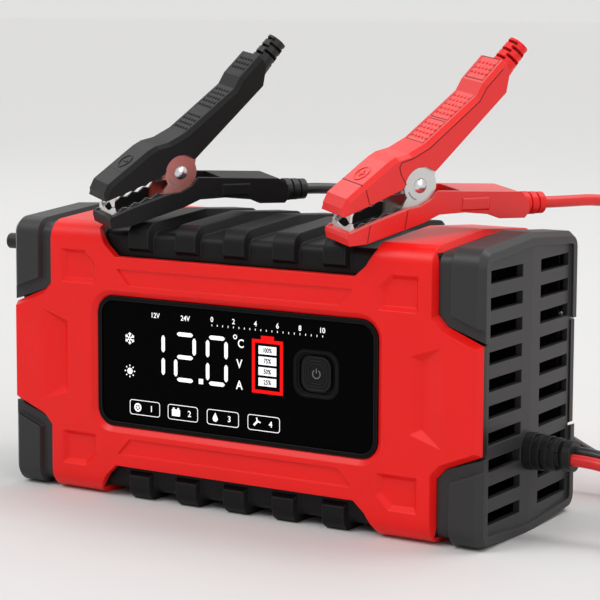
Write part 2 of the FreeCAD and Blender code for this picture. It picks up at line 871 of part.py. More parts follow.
def fan_frame():
    x0 = -panel_outer + panel_thick
    x1 = x0 + fan_thick
    h = fan_size / 2
    frame = box(x0, x1, -h, h, fan_z - h, fan_z + h)
    bore = rod(fan_bore_r, vec(x0 - 1, 0, fan_z), vec(x1 + 1, 0, fan_z))
    frame = frame.cut(bore)
    hub = rod(fan_hub_r - 1.5, vec(x1 - 2.5, 0, fan_z), vec(x1, 0, fan_z))
    shaft = rod(fan_shaft_r, vec(x0 + 3.0, 0, fan_z), vec(x1 - 2, 0, fan_z))
    spokes = []
    for i in range(4):
        spoke = box(x1 - 2.5, x1 - 0.5, -1.2, 1.2, fan_z, fan_z + fan_bore_r + 0.6)
        spoke.rotate(vec(0, 0, fan_z), vec(1, 0, 0), 45 + 90 * i)
        spokes.append(spoke)
    frame = join([frame, hub, shaft] + spokes)
    return frame.cut([rod(screw_r + screw_clear, vec(x0 - 1, y, z), vec(x1 + 1, y, z)) for y,
                      z in fan_screw_places()])


def fan_rotor():
    x0 = -panel_outer + panel_thick + 1.2
    x1 = x0 + 10.4
    hub = rod(fan_hub_r, vec(x0, 0, fan_z), vec(x1, 0, fan_z))
    blades = []
    for i in range(fan_blades):
        blade = box(x0 + 1, x1 - 1, -0.7, 0.7, fan_z + fan_hub_r - 1, fan_z + fan_bore_r - 1.0)
        blade.rotate(vec((x0 + x1) / 2, 0, fan_z), vec(0, 0, 1), 35)
        blade.rotate(vec(0, 0, fan_z), vec(1, 0, 0), 360.0 * i / fan_blades)
        blades.append(blade)
    bore = rod(fan_shaft_r + fan_running, vec(x0 + 1.5, 0, fan_z), vec(x1 + 1, 0, fan_z))
    return join([hub] + blades).cut(bore)


def fan_screws():
    x = -panel_outer + panel_thick + fan_thick
    return group([small_screw(x, y, z, (-1, 0, 0), screw_r, 2.8, fan_thick + 1.2) for y,
                  z in fan_screw_places()])


def turned(stations, axis_z):
    """A turned piece along X from pairs of place and radius."""
    points = [vec(stations[0][0], 0, axis_z)]
    points += [vec(x, 0, axis_z + r) for x, r in stations]
    points += [vec(stations[-1][0], 0, axis_z)]
    face = Part.Face(polygon(points))
    return face.revolve(vec(0, 0, axis_z), vec(1, 0, 0), 360)


def output_strain_relief():
    inside = panel_outer - panel_thick
    neck = relief_r - 0.4
    start = panel_outer + panel_ridge + 0.1
    stations = [(inside - 2.5, relief_r + 1.2), (inside, relief_r + 1.2), (inside, neck), (start, neck),
                (start, relief_r), (start + 3.0, relief_r)]
    run = relief_end_x - 3.0 - (start + 3.0)
    step = run / relief_ribs
    for i in range(relief_ribs):
        x = start + 3.0 + i * step
        share = (i + 1) / (relief_ribs + 1)
        outer = relief_r + (relief_end_r - relief_r) * share
        stations += [(x, outer - 1.1), (x + 0.45 * step, outer - 1.1)]
        if i < relief_ribs - 1:
            stations += [(x + 0.45 * step, outer), (x + step, outer)]
    stations += [(relief_end_x - 3.0, relief_end_r), (relief_end_x, relief_end_r)]
    return turned(stations, relief_z)


def mains_gland():
    inside = -panel_outer + panel_thick
    neck = gland_r - 0.6
    start = -panel_outer - panel_ridge - 0.1
    stations = [(inside + 2.5, gland_r + 1.2), (inside, gland_r + 1.2), (inside, neck), (start, neck),
                (start, gland_r), (start - 3.0, gland_r)]
    ribs = 4
    tail = 12.0
    step = (start - 3.0 - gland_tip_x - tail) / ribs
    for i in range(ribs):
        x = start - 3.0 - i * step
        outer = gland_r + (gland_tip_r - gland_r) * (i + 1) / (ribs + 1)
        stations += [(x, outer - 0.9), (x - 0.45 * step, outer - 0.9), (x - 0.45 * step, outer),
                     (x - step, outer)]
    stations += [(gland_tip_x + tail, gland_tip_r), (gland_tip_x, gland_tip_r)]
    body = turned(stations, gland_z)
    return body.cut(rod(gland_bore_r, vec(inside + 5, 0, gland_z), vec(gland_tip_x - 1, 0, gland_z)))


# The clamp's own axes: u from the jaws to the handles, v from the near side to the far side, w up.
def clamp_axes():
    yaw = math.radians(clamp_yaw)
    roll = math.radians(clamp_roll)
    pitch = math.radians(clamp_pitch)
    along = vec(math.cos(yaw), math.sin(yaw), 0)
    side = vec(math.sin(yaw), -math.cos(yaw), 0)
    near = side * math.cos(roll) - vec(0, 0, 1) * math.sin(roll)
    up = vec(0, 0, 1) * math.cos(roll) + side * math.sin(roll)
    u = along * math.cos(pitch) - up * math.sin(pitch)
    w = up * math.cos(pitch) + along * math.sin(pitch)
    return u, near * -1.0, w


def clamp_placement(shift):
    u, v, w = clamp_axes()
    matrix = FreeCAD.Matrix(u.x, v.x, w.x, clamp_x + shift, u.y, v.y, w.y, clamp_y, u.z, v.z, w.z,
                            clamp_z, 0, 0, 0, 1)
    return matrix


def clamp_point(shift, u, v, w):
    return clamp_placement(shift).multVec(vec(u, v, w))


def clamp_outline(points, v):
    return polygon([vec(u, v, w) for u, w in points])


def side_prism(points, v0, v1):
    return Part.Face(clamp_outline(points, v0)).extrude(vec(0, v1 - v0, 0))


def pivot_disc(radius, v0, v1):
    return rod(radius, vec(pivot_u, v0, pivot_w), vec(pivot_u, v1, pivot_w))


def upper_lever():
    back = [
        (-3.1, 12.2), (-1.6, 15.6), (13.4, 27.5), (16.4, 29.2), (21.3, 30.4), (27.6, 33.8),
        (35.5, 40.4), (46.8, 50.0), (49.0, 54.3), (56.3, 62.2),
    ]
    belly = [
        (59.0, 58.8), (58.1, 51.1), (32.2, 24.6), (27.1, 22.0), (20.9, 19.5), (18.1, 17.8), (6.9,
                                                                                             13.2), (-2.7,
                                                                                                     9.5),
    ]
    outline = back + belly
    lever_back_points = len(back)
    lowered = [(u + 0.64 * lever_chamfer, w - 0.77 * lever_chamfer) if i < lever_back_points else (u, w)
               for i, (u, w) in enumerate(outline)]
    side = Part.makeLoft([clamp_outline(lowered, 0), clamp_outline(outline, lever_chamfer)], True, True)
    far = side.mirror(vec(0, clamp_width / 2, 0), vec(0, 1, 0))
    body = join([side_prism(outline, lever_chamfer, clamp_width - lever_chamfer), side, far])
    channel = [
        (0.8, 2.0), (0.8, 13.0), (2.6, 15.8), (14.2, 25.0), (17.2, 26.6), (22.2, 28.0), (28.6, 31.4),
        (36.4, 37.8), (46.0, 46.2), (49.0, 47.4), (60.0, 40.0), (32.0, 10.0),
    ]
    inside = side_prism(channel, clamp_wall + sheet + 0.1, clamp_width - clamp_wall - sheet - 0.1)
    ears = [pivot_disc(ear_r + ear_clear, -1, clamp_wall + sheet + 0.15),
            pivot_disc(ear_r + ear_clear, clamp_width - clamp_wall - sheet - 0.15, clamp_width + 1)]
    return body.cut([inside] + ears)


def lower_lever():
    outline = [
        (0.0, -0.5), (6.7, 0.0), (28.7, 6.6), (34.7, 9.2), (45.0, 9.6), (55.5, 8.6), (59.4, 7.0), (70.1,
                                                                                                   6.8),
        (72.0, 9.0), (71.0, 13.6), (67.0, 16.2), (33.7, 17.4), (31.4, 14.6), (27.1, 12.2), (23.3, 11.7),
        (8.2, 6.9), (-0.8, 3.4), (-0.8, 2.0),
    ]
    body = side_prism(outline, 0, clamp_width)
    channel = [
        (0.9, 30.0), (0.9, 2.0), (6.6, 2.2), (28.0, 8.7), (33.0, 13.2), (43.0, 13.2), (45.0, 30.0),
    ]
    return body.cut(side_prism(channel, clamp_wall, clamp_width - clamp_wall))


def toothed_edge(u0, u1, height, phase):
    """Points of a toothed sheet edge: half a tooth apart, round the line that height gives."""
    count = int(round(2 * (u1 - u0) / tooth_pitch))
    points = []
    for i in range(count + 1):
        u = u0 + (u1 - u0) * i / count
        points.append((u, height(u) + tooth_rise * (1 if (i + phase) % 2 else -1)))
    return points


def lens_cut(w_side):
    """The cut in a jaw's front plate; the two plates leave a lens-shaped hole between them."""
    v0 = clamp_width / 2 - lens_half
    v1 = clamp_width / 2 + lens_half
    w = mouth_w
    bow = arc(vec(0, v0, w), vec(0, clamp_width / 2, w + w_side * lens_rise), vec(0, v1, w))
    low = w - w_side * 0.6
    skirt = [line(vec(0, v1, w), vec(0, v1, low)), line(vec(0, v1, low), vec(0, v0, low)),
             line(vec(0, v0, low), vec(0, v0, w))]
    return Part.Face(Part.Wire([bow] + skirt)).extrude(vec(4, 0, 0))


def lower_jaw():
    def height(u):
        return 4.7 + 0.37 * u

    v0 = clamp_wall + 0.1
    edge = toothed_edge(2.6, 20.2, height, 0)
    outline = [(1.0, 2.2), (6.6, 2.4), (28.0, 8.9), (32.0, 13.4)] + [(33.0, 17.0), (26.0, 22.0)]
    outline += list(reversed(edge)) + [(1.0, mouth_w - mouth_gap / 2)]
    walls = []
    for a in (v0, clamp_width - v0 - sheet):
        cheek = join([side_prism(outline, a, a + sheet), pivot_disc(ear_r, a, a + sheet)])
        walls.append(cheek)
    floor = side_prism([(1.0, 2.2), (6.6, 2.4), (28.0, 8.9), (27.7, 9.7), (6.5, 3.2), (1.0, 3.0)], v0,
                       clamp_width - v0)
    plate = side_prism([(1.0, 2.2), (1.8, 2.2), (1.8, mouth_w - mouth_gap / 2), (1.0,
                                                                                 mouth_w - mouth_gap / 2)],
                       v0, clamp_width - v0)
    plate = plate.cut(lens_cut(-1))
    jaw = join(walls + [floor, plate])
    return jaw.cut(pivot_disc(rivet_r, -1, clamp_width + 1))


def upper_jaw():
    def height(u):
        return 9.4 + 0.40 * u

    v0 = clamp_wall + 0.1 + sheet + sheet_gap
    edge = toothed_edge(2.6, 18.0, height, 1)
    roof = [(2.9, 14.9), (14.4, 23.6), (17.4, 25.2), (22.6, 26.9), (28.8, 30.1), (36.6, 36.5), (44.0, 43.1)]
    outline = [(1.0, mouth_w + mouth_gap / 2)] + edge + [(22.0, 16.6), (27.0, 15.0), (32.4, 17.4), (33.4,
                                                                                                    24.6)]
    outline += [(44.9, 40.0)] + list(reversed(roof)) + [(1.0, 13.3)]
    walls = []
    for a in (v0, clamp_width - v0 - sheet):
        walls.append(side_prism(outline, a, a + sheet))
    lower_side = [(u + 0.45, w - 0.7) for u, w in roof]
    top = side_prism(roof + list(reversed(lower_side)), v0, clamp_width - v0)
    plate = side_prism([(1.0, mouth_w + mouth_gap / 2), (1.8, mouth_w + mouth_gap / 2), (1.8, 13.9), (1.0,
                                                                                                      13.3)],
                       v0, clamp_width - v0)
    plate = plate.cut(lens_cut(1))
    jaw = join(walls + [top, plate])
    return jaw.cut(pivot_disc(rivet_r + rivet_running, -1, clamp_width + 1))


def pivot_rivet():
    face_v = clamp_wall + 0.1
    shank = pivot_disc(rivet_r, face_v, clamp_width - face_v)
    ball_r = (rivet_head_r ** 2 + rivet_head_h ** 2) / (2 * rivet_head_h)
    heads = []
    for side, place in ((-1, face_v), (1, clamp_width - face_v)):
        centre = vec(pivot_u, place - side * (ball_r - rivet_head_h), pivot_w)
        ball = Part.makeSphere(ball_r, centre)
        lo, hi = (place - 5, place) if side < 0 else (place, place + 5)
        heads.append(ball.common(box(0, 60, lo, hi, 0, 40)))
    return join([shank] + heads)


def arc_middle(a, tangent, b):
    chord = b.sub(a)
    cos_half = chord.dot(tangent) / chord.Length
    apex = a + tangent * (chord.Length / (2 * cos_half))
    middle = (a + b) * 0.5
    return middle + (apex - middle) * (cos_half / (1 + cos_half))


def biarc(a, ta, b, tb):
    """Two arcs that meet smoothly, from a along ta to b along tb."""
    gap = b - a
    both = ta + tb
    k = 2 * (1 - ta.dot(tb))
    g = gap.dot(both)
    reach = (-g + math.sqrt(g * g + k * gap.dot(gap))) / k if k > 1e-9 else gap.Length / 2
    joint = (a + ta * reach + b - tb * reach) * 0.5
    first = arc(a, arc_middle(a, ta, joint), joint)
    second = arc(joint, arc_middle(b, tb * -1.0, joint), b)
    return [first, second]


def tube_along(edges, radius, start, direction):
    ring = Part.Wire(Part.makeCircle(radius, start, direction))
    return Part.Wire(edges).makePipeShell([ring], True, False)


def torsion_spring():
    """A coil round the rivet with a leg up into the upper lever and one back into the lower lever."""
    v_near = clamp_wall + 0.1 + 2 * sheet + sheet_gap + spring_wire / 2 + spring_side_room
    v_far = clamp_width - v_near
    phi0 = math.radians(90 + spring_lean_upper)
    phi1 = math.radians(270 + spring_lean_lower) + 2 * math.pi * spring_turns
    rise = (v_far - v_near) / (phi1 - phi0)

    def place(phi):
        return vec(pivot_u + spring_r * math.cos(phi), v_near + rise * (phi - phi0),
                   pivot_w + spring_r * math.sin(phi))

    def heading(phi):
        run = vec(-spring_r * math.sin(phi), rise, spring_r * math.cos(phi))
        return run.normalize()

    steps = int(math.ceil((phi1 - phi0) / (math.pi / 2)))
    start = place(phi0) - heading(phi0) * spring_leg_upper
    edges = [line(start, place(phi0))]
    for i in range(steps):
        a = phi0 + (phi1 - phi0) * i / steps
        b = phi0 + (phi1 - phi0) * (i + 1) / steps
        edges += biarc(place(a), heading(a), place(b), heading(b))
    edges.append(line(place(phi1), place(phi1) + heading(phi1) * spring_leg_lower))
    gap = 2 * math.pi * rise * math.cos(math.atan2(rise, spring_r)) - spring_wire
    print("torsion spring: least gap between curls %.2f mm" % gap)
    return tube_along(edges, spring_wire / 2, start, heading(phi0))


def upper_boot():
    """The empty cable boot: a tube whose slots take turns between its top and its sides."""
    a = vec(upper_boot_from[0], clamp_width / 2, upper_boot_from[1])
    b = vec(upper_boot_to[0], clamp_width / 2, upper_boot_to[1])
    run = b.sub(a)
    body = Part.makeCone(upper_boot_r, upper_boot_tip_r, run.Length, a, run)
    lever = side_prism([(40.0, 30.0), (49.0, 54.3), (56.3, 62.2), (59.0, 58.8), (58.1, 51.1)], -1,
                       clamp_width + 1)
    body = body.cut(lever)
    body = body.cut(rod(upper_boot_bore, a, b + run))
    along = vec(run.x, run.y, run.z).normalize()
    across = vec(0, 1, 0)
    out = along.cross(across)
    cuts = []
    pitch = (run.Length - 5.2) / upper_boot_slots
    for i in range(upper_boot_slots):
        middle = a + along * (4.6 + (i + 0.5) * pitch)
        facing = out if i % 2 == 0 else across
        other = across if i % 2 == 0 else out
        for sign in (1, -1):
            slab = Part.makeBox(1.1, 2 * 3.0, 6.0)
            matrix = FreeCAD.Matrix(
                along.x, other.x, facing.x * sign, 0, along.y, other.y, facing.y * sign, 0,
                along.z, other.z, facing.z * sign, 0, 0, 0, 0, 1)
            slab = slab.transformGeometry(matrix)
            slab.translate(middle - along * 0.55 - other * 3.0 + facing * (sign * 1.6))
            cuts.append(slab)
    return body.cut(cuts)


def lower_boot():
    centre_v = clamp_width / 2
    start = lower_boot_start
    ribs = []
    neck = rod(lower_boot_r - 0.9, vec(start - 2.0, centre_v, lower_boot_w), vec(lower_boot_end, centre_v,
                                                                                 lower_boot_w))
    step = (lower_boot_end - start) / lower_boot_ribs
    for i in range(lower_boot_ribs):
        u0 = start + i * step
        ribs.append(rod(lower_boot_r - 0.15 * i, vec(u0 + 0.75, centre_v, lower_boot_w),
                        vec(u0 + step, centre_v, lower_boot_w)))
    boot = join([neck] + ribs)
    return boot.cut(lower_lever())


def bend_path(points):
    """Edges along straight runs with a tangent arc at each inner point, and the arcs' radii."""
    edges = []
    radii = []
    here = points[0]
    for i in range(1, len(points) - 1):
        before = points[i] - points[i - 1]
        after = points[i + 1] - points[i]
        turn = before.getAngle(after)
        reach = 0.45 * min(before.Length, after.Length)
        radii.append(reach / math.tan(turn / 2))
        a = points[i] - before * (reach / before.Length)
        b = points[i] + after * (reach / after.Length)
        tangent = vec(before.x, before.y, before.z).normalize()
        edges += [line(here, a), arc(a, arc_middle(a, tangent, b), b)]
        here = b
    edges.append(line(here, points[-1]))
    return edges, radii


def coil_layer_z(layer):
    return tie_thick + lead_d / 2 + layer * coil_pitch


def coil_start(layer):
    """Where a lead joins its coil, at the front, and the point before it on the same straight."""
    start = vec(coil_x, coil_y - coil_r, coil_layer_z(layer))
    return [start - vec(lead_straight, 0, 0), start]


def coil_finish(layer):
    """Where a lead leaves its coil, at the back: winding outwards has moved the turns by a pitch."""
    finish = vec(coil_x, coil_y + coil_r + coil_pitch, coil_layer_z(layer))
    return [finish - vec(lead_straight, 0, 0), finish]


def lead_coil(name, layer):
    """A lead wound inwards on one layer and outwards on the next, as one tube."""
    z = coil_layer_z(layer)
    centre = vec(coil_x, coil_y, z)
    radius = coil_r
    out = vec(0, -1, 0)
    inwards = [-1] * coil_halves
    outwards = [1] * coil_halves
    edges = []
    for turn, change in enumerate(inwards + [0] + outwards):
        heading = vec(-out.y, out.x, 0)
        start = centre + out * radius
        end = centre - out * radius
        if change == 0:
            end += vec(0, 0, coil_pitch)
            edges += biarc(start, heading, end, heading * -1.0)
            centre += vec(0, 0, coil_pitch)
            change = 1
        else:
            edges.append(arc(start, centre + heading * radius, end))
        if turn < 2 * coil_halves:
            step = change * coil_pitch / 2
            radius += step
            centre += out * step
        out = out * -1.0
    solid = tube_along(edges, lead_d / 2, coil_start(layer)[1], vec(1, 0, 0))
    report(name, edges, solid)
    print("%s: least gap between turns %.2f mm" % (name, least_gap(edges, lead_d)))
    return solid


def least_gap(edges, diameter):
    """The least gap between turns, on points a millimetre apart, over two diameters along the tube."""
    points = []
    for edge in edges:
        count = max(2, int(edge.Length))
        points += edge.discretize(count)[:-1]
    skip = int(2.5 * diameter)
    least = 1e9
    for i in range(0, len(points), 2):
        for j in range(i + skip, len(points), 2):
            least = min(least, points[i].distanceToPoint(points[j]))
    return least - diameter


def coil_tie():
    """The strap round the bundle, where two turns lie side by side in each of the four layers."""
    inner_x = coil_x + coil_r - coil_pitch - lead_d / 2 - tie_slack
    outer_x = coil_x + coil_r + lead_d / 2 + tie_slack
    top_z = coil_layer_z(3) + lead_d / 2 + tie_slack
    y0 = coil_y + (coil_pitch - tie_wide) / 2
    outer = box(inner_x - tie_thick, outer_x + tie_thick, y0, y0 + tie_wide, 0, top_z + tie_thick)
    outer = outer.makeFillet(2.0, [e for e in outer.Edges if abs(e.tangentAt(0).y) > 0.9])
    inner = box(inner_x, outer_x, y0 - 1, y0 + tie_wide + 1, tie_thick, top_z)
    inner = inner.makeFillet(1.3, [e for e in inner.Edges if abs(e.tangentAt(0).y) > 0.9])
    return outer.cut(inner)


def boot_points(shift):
    end = clamp_point(shift, lower_boot_end, clamp_width / 2, lower_boot_w)
    on = clamp_point(shift, lower_boot_end + lead_straight, clamp_width / 2, lower_boot_w)
    return [end, on]


def relief_points(side):
    """The start of a lead at the strain relief's end face: the red one lies in front and lower."""
    start = vec(relief_end_x, side * lead_apart_y, relief_z + side * lead_apart_z)
    return [start, start + vec(lead_straight, 0, 0)]


def leads():
    return {
        "red_lead_from_charger": lead("red lead from charger",
                                      relief_points(-1) + red_start_route + coil_start(2)),
        "red_lead_coil": lead_coil("red coil", 2),
        "red_lead_to_clamp": lead("red lead to clamp", boot_points(0) + red_end_route + coil_finish(3)),
        "black_lead_from_charger": lead("black lead from charger",
                                        relief_points(1) + black_start_route + coil_start(0)),
        "black_lead_coil": lead_coil("black coil", 0),
        "black_lead_to_clamp": lead("black lead to clamp",
                                    boot_points(black_shift) + black_end_route + coil_finish(1)),
    }


def report(name, edges, solid):
    path = sum(edge.Length for edge in edges)
    ratio = solid.Volume / (math.pi * lead_d ** 2 / 4 * path)
    print("%s: %.0f mm, volume over section times length %.4f" % (name, path, ratio))


def lead(name, points):
    edges, radii = bend_path(points)
    solid = tube_along(edges, lead_d / 2, points[0], points[1] - points[0])
    report(name, edges, solid)
    print("%s: radii %s, runs %s" % (name, " ".join("%.0f" % r for r in radii), " ".join(
        "%.0f" % a.distanceToPoint(b) for a, b in zip(points, points[1:]))))
    return solid


def main():
    os.makedirs("parts", exist_ok=True)
    body = casing_body()
    nodes = {
        "front_shell": front_shell(body),
        "rear_shell": rear_shell(body),
        "casing_screws": casing_screws(),
        "right_end_cap": right_end_cap(),
        "left_end_cap": left_end_cap(),
        "display_frame": display_frame(),
        "display_window": display_window(),
        "mode_button": mode_button(),
        "push_switch": push_switch(),
        "display_board": display_board(),
        "digit_module": digit_module(),
        "display_screws": display_screws(),
        "main_board": main_board(),
        "board_screws": board_screws(),
        "transformer_core": transformer_core(),
        "transformer_winding": transformer_winding(),
        "front_heat_sink": heat_sink(-1),
        "rear_heat_sink": heat_sink(1),
        "power_transistors": power_transistors(),
        "capacitors": capacitors(),
        "choke": choke(),
        "fuse": fuse(),
        "fan_frame": fan_frame(),
        "fan_rotor": fan_rotor(),
        "fan_screws": fan_screws(),
        "output_strain_relief": output_strain_relief(),
        "mains_gland": mains_gland(),
    }
    top = grip()
    nodes["top_grip"] = top
    nodes["bottom_grip"] = above_floor(mirror_z(top))
    clamp_pieces = {
        "upper_lever": upper_lever(),
        "lower_lever": lower_lever(),
        "upper_jaw": upper_jaw(),
        "lower_jaw": lower_jaw(),
        "pivot_rivet": pivot_rivet(),
        "torsion_spring": torsion_spring(),
        "upper_boot": upper_boot(),
        "lower_boot": lower_boot(),
    }
    for colour, shift in (("red", 0.0), ("black", black_shift)):
        matrix = clamp_placement(shift)
        for name, shape in clamp_pieces.items():
            placed = shape.copy()
            placed.transformShape(matrix)
            nodes["%s_clamp_%s" % (colour, name)] = placed
    nodes.update(leads())
    nodes["coil_tie"] = coil_tie()
    for name, shape in nodes.items():
        shape.exportStep("parts/%s.step" % name)
        print("%-28s solids %d valid %s volume %.1f z %.2f" % (
            name, len(shape.Solids), shape.isValid(), shape.Volume, shape.BoundBox.ZMin))


main()
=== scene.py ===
"""Looks of a battery charger with two spring clamps: finishes, display, leads, clamp details and stage."""
import json
import math

import bmesh
import bpy
from bpy.props import FloatProperty, FloatVectorProperty, IntProperty, PointerProperty
from mathutils import Matrix, Vector


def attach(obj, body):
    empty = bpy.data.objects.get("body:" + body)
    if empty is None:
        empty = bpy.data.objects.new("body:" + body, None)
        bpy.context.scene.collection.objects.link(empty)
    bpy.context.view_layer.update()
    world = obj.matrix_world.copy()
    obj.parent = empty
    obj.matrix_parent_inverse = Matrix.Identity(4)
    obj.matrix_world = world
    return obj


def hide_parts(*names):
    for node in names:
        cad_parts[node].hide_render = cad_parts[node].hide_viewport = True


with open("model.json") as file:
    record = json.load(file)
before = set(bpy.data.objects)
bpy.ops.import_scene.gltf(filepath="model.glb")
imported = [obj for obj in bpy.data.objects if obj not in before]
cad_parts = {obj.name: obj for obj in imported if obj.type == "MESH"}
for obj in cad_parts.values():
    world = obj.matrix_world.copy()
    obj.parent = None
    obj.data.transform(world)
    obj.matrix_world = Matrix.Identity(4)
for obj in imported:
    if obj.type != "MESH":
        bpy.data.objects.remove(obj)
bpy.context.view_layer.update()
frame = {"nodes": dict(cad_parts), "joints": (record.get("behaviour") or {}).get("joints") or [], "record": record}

bl_info = {
    "name": "Battery charger looks",
    "version": (1, 0, 0),
    "blender": (4, 5, 0),
    "location": "View3D > Sidebar > Charger",
    "description": "Dresses the charger's frame with finishes, display, leads and clamp details",
    "category": "Object",
}

MM = 0.001
MID_HEIGHT = 51.2
FRONT = -39.25
WINDOW_FRONT = FRONT + 1.9
LEAD_D = 4.2
LEAD_STRAIGHT = 10.0
RELIEF_X = 115.5
RELIEF_Z = 28.3
LEAD_APART = (2.0, 0.95)
COIL_X = 172.0
COIL_Y = 23.0
COIL_R = 25.8
COIL_PITCH = 4.8
COIL_HALVES = 3
COIL_POINTS = 8
TIE_THICK = 0.8
CLAMP_WIDTH = 16.0
PIVOT = Vector((27.1, 8.0, 19.2))
BOOT_END = (82.0, 8.0, 10.4)

RED_START_ROUTE = [(137, -2.3, 24.0), (149, -2.6, 17.4)]
BLACK_START_ROUTE = [(134.5, 2.1, 24.6), (142.5, 1.0, 15.8), (152, -1.5, 6.6)]
RED_END_ROUTE = [
    (100.5, 51.5, 112), (108, 63, 108.5), (117, 72.5, 99.5), (125, 78, 85), (131, 79, 67),
    (134.5, 75, 50), (138, 68, 35), (144, 60, 25), (152, 55.5, 19.5),
]
BLACK_END_ROUTE = [
    (2, 51, 110), (14, 58, 98), (26, 62, 80), (38, 64, 58), (54, 66, 38), (74, 67, 23),
    (96, 66, 13), (114, 63, 7), (131, 58.5, 3.6), (147, 55, 4.9),
]


class ColourSettings(bpy.types.PropertyGroup):
    """Colours that a user may change."""
    red: FloatVectorProperty(name="Casing red", description="Red of the casing", subtype="COLOR",
                             size=3, min=0, max=1, default=(0.86, 0.009, 0.007))
    clamp_red: FloatVectorProperty(name="Clamp red", description="Red of the positive clamp", subtype="COLOR",
                                   size=3, min=0, max=1, default=(0.86, 0.012, 0.010))
    black: FloatVectorProperty(name="Black", description="Black of caps, grips and clamp", subtype="COLOR",
                               size=3, min=0, max=1, default=(0.013, 0.013, 0.0135))
    display: FloatVectorProperty(name="Display light", description="Colour of the lit digits",
                                 subtype="COLOR", size=3, min=0, max=1, default=(0.90, 0.90, 0.92))
    floor: FloatVectorProperty(name="Floor", description="Colour of the floor", subtype="COLOR",
                               size=3, min=0, max=1, default=(0.71, 0.705, 0.70))


class DisplaySettings(bpy.types.PropertyGroup):
    """Sizes of the printed and lit display."""
    digit_height: FloatProperty(name="Digit height", description="Height of a large digit",
                                subtype="DISTANCE", min=0.005, max=0.03, default=18.1 * MM)
    stroke: FloatProperty(name="Stroke", description="Width of a digit's bar", subtype="DISTANCE",
                          min=0.0005, max=0.004, default=1.5 * MM)
    print_height: FloatProperty(name="Print height", description="How far the print stands on the pane",
                                subtype="DISTANCE", min=0.00001, max=0.0002, default=0.05 * MM)
    bars: IntProperty(name="Charge bars", description="Bars inside the battery sign", min=1, max=8, default=4)


class ClampSettings(bpy.types.PropertyGroup):
    """Sizes of the grip dots on the clamps."""
    dot_pitch: FloatProperty(name="Dot pitch", description="Distance between grip dots", subtype="DISTANCE",
                             min=0.001, max=0.004, default=2.2 * MM)
    dot_radius: FloatProperty(name="Dot radius", description="Radius of a grip dot", subtype="DISTANCE",
                              min=0.0002, max=0.001, default=0.62 * MM)


class StageSettings(bpy.types.PropertyGroup):
    """Camera and light."""
    azimuth: FloatProperty(name="Azimuth", description="Camera's turn about Z, in degrees", default=31.782)
    elevation: FloatProperty(name="Elevation", description="Camera's height angle, in degrees", default=6.634)
    lens: FloatProperty(name="Lens", description="Focal length on a 36 mm sensor", default=123.9, min=10)
    light: FloatProperty(name="Light", description="Strength of all the lamps", default=1.0, min=0)


materials = {}


class Value:
    """A node socket that can be used in sums."""

    def __init__(self, tree, socket):
        self.tree = tree
        self.socket = socket

    def math(self, operation, other=None, third=None, swap=False):
        values = [self, other]
        if swap:
            values = [other, self]
        values = [v for v in values + [third] if v is not None]
        node = self.tree.add("ShaderNodeMath", {"operation": operation}, dict(enumerate(values)))
        return self.tree.out(node)

    def __add__(self, other):
        return self.math("ADD", other)

    __radd__ = __add__

    def __sub__(self, other):
        return self.math("SUBTRACT", other)

    def __rsub__(self, other):
        return self.math("SUBTRACT", other, swap=True)

    def __mul__(self, other):
        return self.math("MULTIPLY", other)

    __rmul__ = __mul__

    def __truediv__(self, other):
        return self.math("DIVIDE", other)

    def clamp(self):
        node = self.tree.add("ShaderNodeClamp", {}, {"Value": self})
        return self.tree.out(node)


class Tree:
    """A node tree with one way to add any node."""

    def __init__(self, tree):
        self.tree = tree

    def add(self, kind, settings, inputs):
        node = self.tree.nodes.new(kind)
        for key, value in settings.items():
            if key == "stops":
                self.set_stops(node.color_ramp, value)
            else:
                setattr(node, key, value)
        for key, value in inputs.items():
            socket = node.inputs[key]
            if isinstance(value, Value):
                self.tree.links.new(value.socket, socket)
            else:
                socket.default_value = value
        return node

    def set_stops(self, ramp, stops):
        while len(ramp.elements) < len(stops):
            ramp.elements.new(0.5)
        for element, (place, level) in zip(ramp.elements, stops):
            element.position = place
            element.color = (level, level, level, 1)

    def out(self, node, name=0):
        return Value(self, node.outputs[name])


